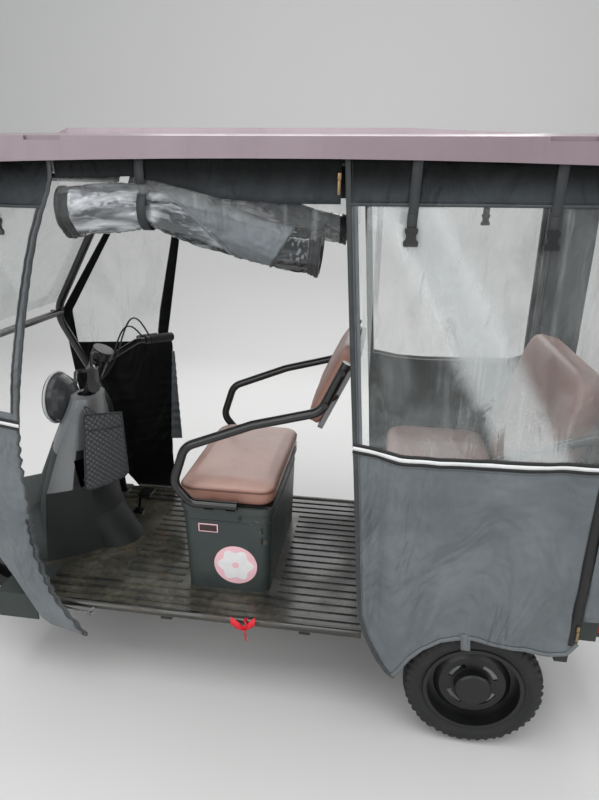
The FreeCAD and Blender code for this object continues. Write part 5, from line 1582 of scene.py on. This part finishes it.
@dataclass
class Cushion:
    """Crowned, sewn cushion made from the box of the solid that it stands for."""

    node: str
    body: str
    name: str
    side_pull: float = 0.008
    crown: float = 0.012
    corner: float = 0.045
    welt: float = 0.67          # height of the sewn seam as a share of the cushion's
    across: int = 40            # points along each side, up it and over its faces
    along: int = 26
    up: int = 12
    steps: int = 14

    def build(self) -> bpy.types.Object:
        """Makes the cushion.

        Returns:
            The finished piece.
        """
        low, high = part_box(self.node)
        size, mid, points = high - low, (low + high) / 2, []
        up, steps = self.up, self.steps
        rim = self._rim(size / 2)
        for layer in range(up + 1):
            w = layer / up
            swell = math.sin(math.pi * min(1.0, w * 1.02)) ** 0.6
            inset = self.side_pull * (1 - swell) + (0.020 * max(0.0, (w - 0.72) / 0.28) ** 2)
            points += [(mid.x + x * (1 - inset / (size.x / 2)), mid.y + y * (1 - inset / (size.y / 2)),
                        low.z + size.z * w) for x, y in rim]
        ring = len(rim)
        faces = grid_faces(up + 1, ring, True)
        for start, top in ((up * ring, True), (0, False)):
            base, previous = [Vector(p) for p in points[start:start + ring]], start
            for s in range(1, steps + 1):
                f, first = 1 - s / (steps + 1), len(points)
                for p in base:
                    q = Vector((mid.x + (p.x - mid.x) * f, mid.y + (p.y - mid.y) * f, p.z))
                    rise = 1 - ((q.x - mid.x) / (size.x / 2)) ** 2
                    rise *= 1 - ((q.y - mid.y) / (size.y / 2)) ** 2
                    if top:
                        q.z += self.crown * max(0.0, rise) ** 0.7
                    points.append(q)
                for k in range(ring):
                    a, b = previous + k, previous + (k + 1) % ring
                    c, d = first + (k + 1) % ring, first + k
                    faces.append((a, b, c, d) if top else (d, c, b, a))
                previous = first
            faces.append(tuple(range(previous, previous + ring)))
        obj = outward(mesh_object(self.name, points, faces, Finish.LEATHER))
        for vertex in obj.data.vertices:
            p = vertex.co
            vertex.co += vertex.normal * 0.0018 * noise.noise(Vector((p.x * 11, p.y * 11, p.z * 16)))
        layer = round(self.welt * up) * ring
        seam = [Vector(p) for p in points[layer:layer + ring]]
        path = [mid + Vector(((p.x - mid.x) * 1.004, (p.y - mid.y) * 1.003, p.z - mid.z)) for p in seam]
        obj = joined(self.name, [obj, tube("welt", path + path[:1], 0.0028, Finish.WELT, 6)])
        return settle(obj, self.body, self.node)

    def _rim(self, half: Vector) -> list[tuple[float, float]]:
        """Places round the cushion's plan, from its middle, with round corners."""
        plan = [(-1.0, k / self.across * 2 - 1) for k in range(self.across)]
        plan += [(k / self.along * 2 - 1, 1.0) for k in range(self.along)]
        rim, (cx, cy) = [], (half.x - self.corner, half.y - self.corner)
        for v, u in plan + [(-v, -u) for v, u in plan]:
            x, y = v * half.x, u * half.y
            dx, dy = abs(x) - cx, abs(y) - cy
            if min(dx, dy) > 0:
                length = math.hypot(dx, dy)
                if length > self.corner:
                    dx, dy = dx / length * self.corner, dy / length * self.corner
                x, y = math.copysign(cx + dx, x), math.copysign(cy + dy, y)
            rim.append((x, y))
        return rim


@dataclass
class Backrest:
    """Leaning pad with rounded edges, swept from the solid's own lean."""

    node: str
    body: str
    name: str
    foot: tuple[float, float]
    lean: float
    height: float
    half_width: float
    depth: float
    corner: float = 0.06
    soft: float = 0.018

    def build(self) -> bpy.types.Object:
        """Makes the pad.

        Returns:
            The finished piece.
        """
        t = math.radians(self.lean)
        up, out = Vector((math.sin(t), 0, math.cos(t))), Vector((math.cos(t), 0, -math.sin(t)))
        base = Vector((self.foot[0], 0, self.foot[1]))
        outline = []
        h, w, r = self.height, self.half_width, self.corner
        for cx, cz, start in ((w - r, r, -90), (w - r, h - r, 0), (r - w, h - r, 90), (r - w, r, 180)):
            for k in range(9):
                a = math.radians(start + k * 90 / 8)
                outline.append((cx + r * math.cos(a), cz + r * math.sin(a)))
        edges = []
        for (y, z), (ny, nz) in zip(outline, outline[1:] + outline[:1]):
            count = max(1, int(math.hypot(ny - y, nz - z) / 0.03))
            edges += [(y + (ny - y) * k / count, z + (nz - z) * k / count) for k in range(count)]
        ring, rings = len(edges), []
        s, d = self.soft, self.depth
        for inset, deep in ((0.16, 0.0), (0.09, 0.0), (0.05, 0.0), (s, 0.0015), (s * 0.3, s * 0.35), (0.0, s),
                            (0.001, d * 0.5), (0.0, d - s * 0.6), (s * 0.3, d - s * 0.2), (s, d), (0.09, d)):
            swell = 0.006 * (inset > s) * (1 if deep < d / 2 else -1)
            row = []
            for y, z in edges:
                ry, rz = y * max(0.0, 1 - inset / w), h / 2 + (z - h / 2) * max(0.0, 1 - inset / (h / 2))
                p = base + up * rz + out * (deep - swell) + Vector((0, ry, 0))
                row.append(p + out * 0.0014 * noise.noise(Vector((ry * 9, rz * 9, deep * 30))))
            rings.append(row)
        points = [p for row in rings for p in row]
        faces = grid_faces(len(rings), ring, True)
        faces += [tuple(range(ring))[::-1], tuple(range((len(rings) - 1) * ring, len(rings) * ring))]
        obj = outward(mesh_object(self.name, points, faces, Finish.LEATHER))
        return settle(obj, self.body, self.node)


# ---------------------------------------------------------------- wheels

@dataclass
class Tyre:
    """Tyre with a blocky tread over the solid that it stands for."""

    node: str
    body: str
    name: str
    sections: int = 144
    ribs: int = 48
    flange: float = 0.1450      # radius of the rim's flange
    bead: float = 0.1372        # smallest radius of the tyre
    seat: float = 0.0320        # half of the width between the beads
    groove: float = 0.006       # depth of the tread's grooves

    def build(self) -> bpy.types.Object:
        """Makes the tyre.

        Returns:
            The finished piece.
        """
        low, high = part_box(self.node)
        centre = (low + high) / 2
        radius, half = (high.z - low.z) / 2, (high.y - low.y) / 2 - 0.0007
        seat, flange = self.seat, self.flange
        profile = [(-seat, self.bead), (-seat, flange), (-seat - 0.003, flange + 0.006),
                   (-half + 0.002, flange + 0.016), (-half, radius - 0.036), (-half + 0.0015, radius - 0.024),
                   (-half + 0.006, radius - 0.012), (-half + 0.011, radius - 0.006),
                   (-0.022, radius - 0.0022), (-0.014, radius - 0.0012), (-0.005, radius - 0.0004)]
        profile += [(-y, r) for y, r in profile[::-1]]
        points = []
        for k in range(self.sections):
            turn = 2 * math.pi * k / self.sections
            for y, r in profile:
                if r > radius - 0.02:
                    phase = (turn * self.ribs / (2 * math.pi) + (0.5 if y > 0 else 0.0)) % 1.0
                    if 0.010 < abs(y) < 0.018 or phase < (0.34 if abs(y) > 0.018 else 0.2):
                        r -= self.groove
                points.append((centre.x + r * math.sin(turn), centre.y + y, centre.z + r * math.cos(turn)))
        faces = [tuple(v % len(points) for v in face)
                 for face in grid_faces(self.sections + 1, len(profile), True)]
        obj = outward(mesh_object(self.name, points, faces, Finish.RUBBER, shade=False))
        return settle(obj, self.body, self.node)


# ---------------------------------------------------------------- small pieces

# Cables on the handlebar: name, real length and the points of each route from its lever to the stem
CABLE_ROUTES = (
    ("brake_cable_right", 0.393, (
        (-0.455, 0.215, 1.030), (-0.470, 0.200, 1.060), (-0.480, 0.160, 1.095),
        (-0.485, 0.110, 1.105), (-0.492, 0.068, 1.075), (-0.508, 0.050, 1.015),
        (-0.540, 0.040, 0.955), (-0.572, 0.026, 0.918), (-0.585, 0.012, 0.905))),
    ("throttle_cable", 0.456, (
        (-0.445, 0.240, 1.035), (-0.458, 0.225, 1.075), (-0.466, 0.180, 1.122),
        (-0.470, 0.125, 1.132), (-0.480, 0.085, 1.090), (-0.500, 0.066, 1.015),
        (-0.538, 0.056, 0.945), (-0.572, 0.036, 0.908), (-0.586, 0.014, 0.898))),
    ("brake_cable_left", 0.353, (
        (-0.455, -0.215, 1.030), (-0.468, -0.200, 1.055), (-0.480, -0.165, 1.075),
        (-0.488, -0.115, 1.070), (-0.497, -0.072, 1.035), (-0.515, -0.055, 0.985),
        (-0.548, -0.044, 0.935), (-0.574, -0.028, 0.908), (-0.586, -0.012, 0.900))),
)
CABLE_DIAMETER = 0.006


@dataclass
class SmallPieces:
    """Badge, sticker, ribbon, pouch, cables and other small trim."""

    bucket_front_y: float = -0.2655     # left face of the bucket at its collar
    collar_z: float = 0.571
    bucket_low: float = 0.31
    bucket_high: float = 0.606
    bucket_lean: float = 0.008          # how much further out its left face is at the top

    def build(self) -> None:
        """Makes them all."""
        self._badge()
        self._sticker()
        self._ribbon()
        self._pouch()
        self._sill_hook()
        self._lamp_rim()
        self._cables()
        self._bucket_marks()

    def _disc(self, centre: Point, radius: float, finish: Finish, lobe: float = 0.0,
              squash: float = 1.0, depth: float = 0.0012) -> bpy.types.Object:
        """Thin disc that leans with the bucket's left face, with six scallops that deep round its rim."""
        rim, back = [], []
        for a in (2 * math.pi * k / 72 for k in range(72)):
            f = 1 + lobe * math.cos(6 * a)
            x, z = centre[0] + radius * f * math.cos(a), centre[2] + radius * squash * f * math.sin(a)
            y = centre[1] - (z - self.bucket_low) / (self.bucket_high - self.bucket_low) * self.bucket_lean
            rim.append((x, y - depth, z))
            back.append((x, y, z))
        return prism("disc", rim, back, finish)

    def _badge(self) -> None:
        """Blank badge below the bucket's collar."""
        y = self.bucket_front_y - 0.006
        parts = [box_mesh((-0.116, y - 0.0022, 0.530), (-0.051, y, 0.560), Finish.STICKER_PINK, 0.0008),
                 box_mesh((-0.1125, y - 0.0027, 0.5335), (-0.0545, y, 0.5565), Finish.BADGE, 0.0006)]
        settle(joined("bucket_badge", parts), "root")

    def _sticker(self) -> None:
        """Round sticker: a pale pink disc with a white flower of plain lobes."""
        x, z, y = 0.003, 0.410, self.bucket_front_y + 0.0012
        parts = [self._disc((x, y, z), 0.072, Finish.STICKER_PINK),
                 self._disc((x, y - 0.0004, z), 0.054, Finish.STICKER_WHITE, 0.12),
                 self._disc((x, y - 0.0008, z), 0.012, Finish.STICKER_PINK, squash=0.011 / 0.012)]
        settle(joined("bucket_sticker", parts), "root")

    def _ribbon(self) -> None:
        """Red ribbon tied round the sill, with two short tails."""
        x, y, z = 0.070, -0.4145, 0.304
        parts = []
        for start, (mx, my, mz), (ex, ey, ez) in ((-0.008, (-0.016, -0.024, 0.010), (-0.042, -0.022, 0.026)),
                                                  (-0.008, (0.014, -0.024, 0.014), (0.034, -0.022, 0.032)),
                                                  (-0.006, (0.003, -0.026, -0.018), (0.006, -0.024, -0.032))):
            line = curve_points([(x, y - 0.014, z + start), (x + mx, y + my, z + mz),
                                 (x + ex, y + ey, z + ez)], 8)
            points = []
            for i, at in enumerate(line):
                wide = 0.004 + 0.010 * math.sin(math.pi * i / (len(line) - 1) * 0.62)
                points += [at + Vector((0, 0, wide)), at + Vector((0.002 * math.sin(i), -0.002, -wide))]
            tail = mesh_object("tail", points, grid_faces(len(line), 2), Finish.RIBBON)
            parts.append(outward(thicken(tail, 0.0012, offset=0.0)))
        ring = [(x + 0.004 * math.sin(a * 3), y + 0.0145 * math.cos(a), z + 0.0145 * math.sin(a))
                for a in (2 * math.pi * k / 24 for k in range(25))]
        parts.append(tube("wrap", ring, 0.0035, Finish.RIBBON, 8))
        settle(joined("sill_ribbon", parts), "root")

    def _pouch(self) -> None:
        """Flat quilted pouch that hangs from a hook on the column's left, with a zip below its top."""
        foot, across = Vector((-0.560, -0.152, 0.0)), Vector((0.62, 0.78, 0.0)).normalized()
        towards = Vector((across.y, -across.x, 0.0))

        def place(u: float, v: float, out: float) -> Vector:
            """Point of the pouch at shares of its width and height, standing out from its plane."""
            top, low = 0.850 - 0.022 * u, 0.568 + 0.010 * u + 0.014 * abs(2 * u - 1) ** 7
            along = foot + across * (0.022 * v + u * (0.164 - 0.028 * v)) + towards * out
            return Vector((along.x, along.y, low + (top - low) * v))

        n, m, points = 22, 32, []
        for depth, j, i in product((0.012, -0.005), range(m), range(n)):
            u, v = i / (n - 1), j / (m - 1)
            swell = (max(0.0, math.sin(math.pi * u)) * max(0.0, math.sin(math.pi * v))) ** 0.45
            sag = 0.0022 * noise.noise(Vector((u * 4, v * 5, depth * 90))) * swell
            points.append(place(u, v, depth * swell + sag))
        faces = grid_faces(m, n)
        faces += [tuple(n * m + k for k in face[::-1]) for face in faces]
        body = outward(mesh_object("body", points, faces, Finish.POUCH))
        half = [(k / 12, 0.0) for k in range(12)] + [(1.0, k / 12) for k in range(12)]
        edge = [place(u, v, 0.0) for u, v in half + [(1 - u, 1 - v) for u, v in half] + [(0.0, 0.0)]]
        closing = [place(u, 0.80, 0.0125 * math.sin(math.pi * u) ** 0.45)
                   for u in (0.03 + 0.94 * k / 16 for k in range(17))]
        hook = [(-0.592, -0.058, 0.846), (-0.572, -0.082, 0.846), (-0.556, -0.100, 0.850),
                (-0.548, -0.110, 0.866)]
        loop = [tuple(place(0.10, 1.0, 0.0)), (-0.551, -0.112, 0.872), tuple(place(0.34, 1.0, 0.0))]
        parts = [body, tube("piping", edge, 0.0028, Finish.BINDING, 6),
                 tube("zip", closing, 0.0022, Finish.BINDING, 6),
                 tube("hook", curve_points(hook, 5), 0.0035, Finish.CHROME, 8),
                 tube("loop", curve_points(loop, 6), 0.0025, Finish.BINDING, 6)]
        settle(joined("column_pouch", parts), "root")

    def _lamp_rim(self) -> None:
        """White rim round the headlamp's glass."""
        low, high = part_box("headlamp_shell")
        middle, radius = (low + high) / 2, (high.y - low.y) / 2 + 0.0015
        ring = [(low.x + 0.009, middle.y + radius * math.cos(a), middle.z + radius * math.sin(a))
                for a in (2 * math.pi * k / 64 for k in range(65))]
        settle(tube("headlamp_rim", ring, 0.0042, Finish.RIM_WHITE, 10), "root")

    def _cables(self) -> None:
        """Cables that loop up from the levers and go down to the stem."""
        for name, length, route in CABLE_ROUTES:
            data = bpy.data.curves.new(name, "CURVE")
            data.dimensions, data.bevel_depth, data.bevel_resolution = "3D", CABLE_DIAMETER / 2, 3
            data.use_fill_caps = True
            spline = data.splines.new("NURBS")
            spline.points.add(len(route) - 1)
            for point, at in zip(spline.points, route):
                point.co = (*at, 1.0)
            spline.order_u, spline.use_endpoint_u, spline.resolution_u = 3, True, 8
            data.materials.append(Finish.CABLE.material())
            obj = settle(linked(name, data), "steering")
            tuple(route[0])

    def _bucket_marks(self) -> None:
        """Small dark hole and slots in the seat bucket, and the lip under its collar."""
        y = self.bucket_front_y
        parts = [self._disc((0.022, y - 0.0045, 0.588), 0.005, Finish.BLACK, depth=0.0008),
                 tube("lip", girdle("seat_bucket", self.collar_z, 0.0006), 0.0022, Finish.BUCKET, 6)]
        parts += [box_mesh((0.089, y - 0.0075, z), (0.095, y + 0.001, z + 0.020), Finish.BLACK, 0.001)
                  for z in (0.540, 0.500)]
        settle(joined("bucket_marks", parts), "root")

    def _sill_hook(self) -> None:
        """Thin rod and pale curved hook under the sill."""
        rod = [(-0.60, -0.395, 0.286), (-0.50, -0.400, 0.272), (-0.44, -0.400, 0.268)]
        hook = [(-0.455, -0.405, 0.262), (-0.450, -0.412, 0.285), (-0.428, -0.412, 0.300)]
        parts = [tube("rod", curve_points(line, 6), radius, finish, 8)
                 for line, radius, finish in ((rod, 0.0035, Finish.BRIGHT), (hook, 0.005, Finish.PANEL))]
        settle(joined("sill_hook", parts), "root")


# ---------------------------------------------------------------- solids kept from the frame

NODE_FINISH: dict[str, Finish] = {
    "roof_panel": Finish.ROOF, "chassis_frame": Finish.CHASSIS, "rear_axle": Finish.CHASSIS,
    "leaf_springs": Finish.CHASSIS, "bench_base": Finish.CHASSIS, "floor_pan": Finish.MAT,
    "side_sills": Finish.SILL, "front_cowl": Finish.COWL, "inner_shield": Finish.SHIELD,
    "seat_bucket": Finish.BUCKET, "rear_body": Finish.BODY, "front_fender": Finish.BODY,
    "headlamp_shell": Finish.BOWL, "headlamp_lens": Finish.LENS, "instrument": Finish.BLACK,
    "brake_levers": Finish.BLACK, "driver_back_shell": Finish.SHELL, "battery": Finish.BLACK,
    "roof_frame": Finish.TUBE, "windscreen_frame": Finish.TUBE, "driver_plate": Finish.TUBE,
    "driver_tubes": Finish.TUBE, "bench_arms": Finish.TUBE, "rear_bumper": Finish.TUBE,
    "brake_pedal": Finish.TUBE, "fork": Finish.TUBE, "handlebar": Finish.TUBE, "bench_plate": Finish.CHASSIS,
    "windscreen": Finish.SCREEN, "tail_lamps": Finish.TAIL_RED, "grips": Finish.GRIP,
    "rim_front": Finish.WHEEL, "rim_rear_left": Finish.WHEEL, "rim_rear_right": Finish.WHEEL,
}


def dress_solids(nodes: dict[str, bpy.types.Object]) -> None:
    """Gives every solid that stays in view its finish.

    Args:
        nodes: solids by name.
    """
    for name, finish in NODE_FINISH.items():
        slots = nodes[name].data.materials
        if not slots:
            slots.append(finish.material())
        for i in range(len(slots)):
            slots[i] = finish.material()


# ---------------------------------------------------------------- stage

@dataclass
class Stage:
    """Floor, backdrop, lamps, world and camera."""

    camera_place: Point = (0.440, -1.902, 1.580)
    focal_pixels: float = 600.0
    yaw: float = 8.1
    pitch: float = 19.4
    roll: float = -0.8

    def build(self) -> None:
        """Makes the stage."""
        self._floor()
        self._lamps()
        self._world()
        self._camera()
        bpy.context.scene.view_settings.view_transform = "Standard"

    def _floor(self) -> None:
        """Pale floor that curves up into a backdrop behind the vehicle."""
        g = Graph("stage_floor")
        tone = g.mix(g.step(g.noise(1.5, 3.0), 0.3, 0.8) * 0.1, (0.62, 0.62, 0.61), (0.55, 0.55, 0.54))
        material = g.finish(Base_Color=tone, Roughness=0.85)
        mesh = bpy.data.meshes.new("stage_floor")
        profile = [(-6.0, 0.0), (3.6, 0.0)]
        profile += [(3.6 + 1.2 * math.sin(a), 1.2 - 1.2 * math.cos(a)) for a in
                    (math.pi / 2 * k / 12 for k in range(1, 13))]
        profile.append((4.8, 7.0))
        points = [(x, y, z) for y, z in profile for x in (-9.0, 9.0)]
        mesh.from_pydata(points, [], grid_faces(len(profile), 2))
        mesh.materials.append(material)
        smooth(linked("stage_floor", mesh))

    def _lamps(self) -> None:
        """Large soft lamps."""
        for name, place, target, size, power in (
                ("lamp_sky", (0.2, -0.8, 4.8), (0.1, 0.0, 0.5), 4.6, 190.0),
                ("lamp_key", (-1.8, -3.8, 2.4), (0.1, 0.0, 0.7), 3.2, 62.0),
                ("lamp_fill", (3.4, -2.8, 2.0), (0.3, 0.0, 0.7), 2.8, 34.0),
                ("lamp_back", (0.0, 3.2, 3.0), (0.0, 0.0, 0.9), 3.2, 60.0)):
            data = bpy.data.lights.new(name, "AREA")
            data.energy, data.size = power, size
            lamp = linked(name, data)
            lamp.location = place
            lamp.rotation_euler = (Vector(target) - Vector(place)).to_track_quat("-Z", "Y").to_euler()

    def _world(self) -> None:
        """Even pale surroundings."""
        world = bpy.data.worlds.new("stage_world")
        world.use_nodes = True
        sky = world.node_tree.nodes["Background"].inputs
        sky["Color"].default_value, sky["Strength"].default_value = (0.86, 0.88, 0.9, 1.0), 0.55
        bpy.context.scene.world = world

    def _camera(self) -> None:
        """Camera at the photograph's viewing angle."""
        yaw, pitch, roll = (math.radians(v) for v in (self.yaw, self.pitch, self.roll))
        level = Vector((-math.sin(yaw), math.cos(yaw), 0.0))
        ahead = level * math.cos(pitch) - Vector((0, 0, math.sin(pitch)))
        right = ahead.cross(Vector((0, 0, 1))).normalized()
        down = ahead.cross(right).normalized()
        turned_right = right * math.cos(roll) + down * math.sin(roll)
        turned_down = down * math.cos(roll) - right * math.sin(roll)
        data = bpy.data.cameras.new("camera")
        data.sensor_fit, data.sensor_width, data.sensor_height = "VERTICAL", 27.0, 36.0
        data.lens = self.focal_pixels * 36.0 / IMAGE_HEIGHT
        camera = linked("camera", data)
        basis = [turned_right, -turned_down, -ahead]
        rows = [[axis[r] for axis in basis] + [self.camera_place[r]] for r in range(3)]
        camera.matrix_world = Matrix(rows + [[0.0, 0.0, 0.0, 1.0]])
        bpy.context.scene.camera = camera


# ---------------------------------------------------------------- main


def report(name: str, work: Callable[[], object]) -> None:
    """Runs one step and logs it."""
    work()
    LOG.info("%s built", name)


def main() -> None:
    """Builds the vehicle's looks around its solids."""
    logging.basicConfig(level=logging.INFO, format="%(message)s")
    for obj in list(bpy.data.objects):
        bpy.data.objects.remove(obj)
    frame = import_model()
    report("solids", lambda: dress_solids(frame["nodes"]))
    report("curtains", Curtains().build)
    seats = [
        Cushion("driver_cushion", "driver_seat", "driver_cushion_cover"),
        Cushion("bench_cushion", "bench_lid", "bench_cushion_cover", corner=0.05),
        Backrest("driver_back_pad", "driver_seat", "driver_back_cover", (0.214, 0.905), 25.0, 0.268, 0.205,
                 0.042, 0.05, 0.012),
        Backrest("bench_back", "root", "bench_back_cover", (0.845, 0.6385), 14.0, 0.500, 0.335, 0.080, 0.12),
    ]
    for seat in seats:
        report(seat.name, seat.build)
    for node, body in (("tyre_front", "front_wheel"), ("tyre_rear_left", "rear_wheel_left"),
                       ("tyre_rear_right", "rear_wheel_right")):
        report(node, Tyre(node, body, node + "_tread").build)
    report("small pieces", SmallPieces().build)
    report("stage", Stage().build)


if __name__ == "__main__":
    main()
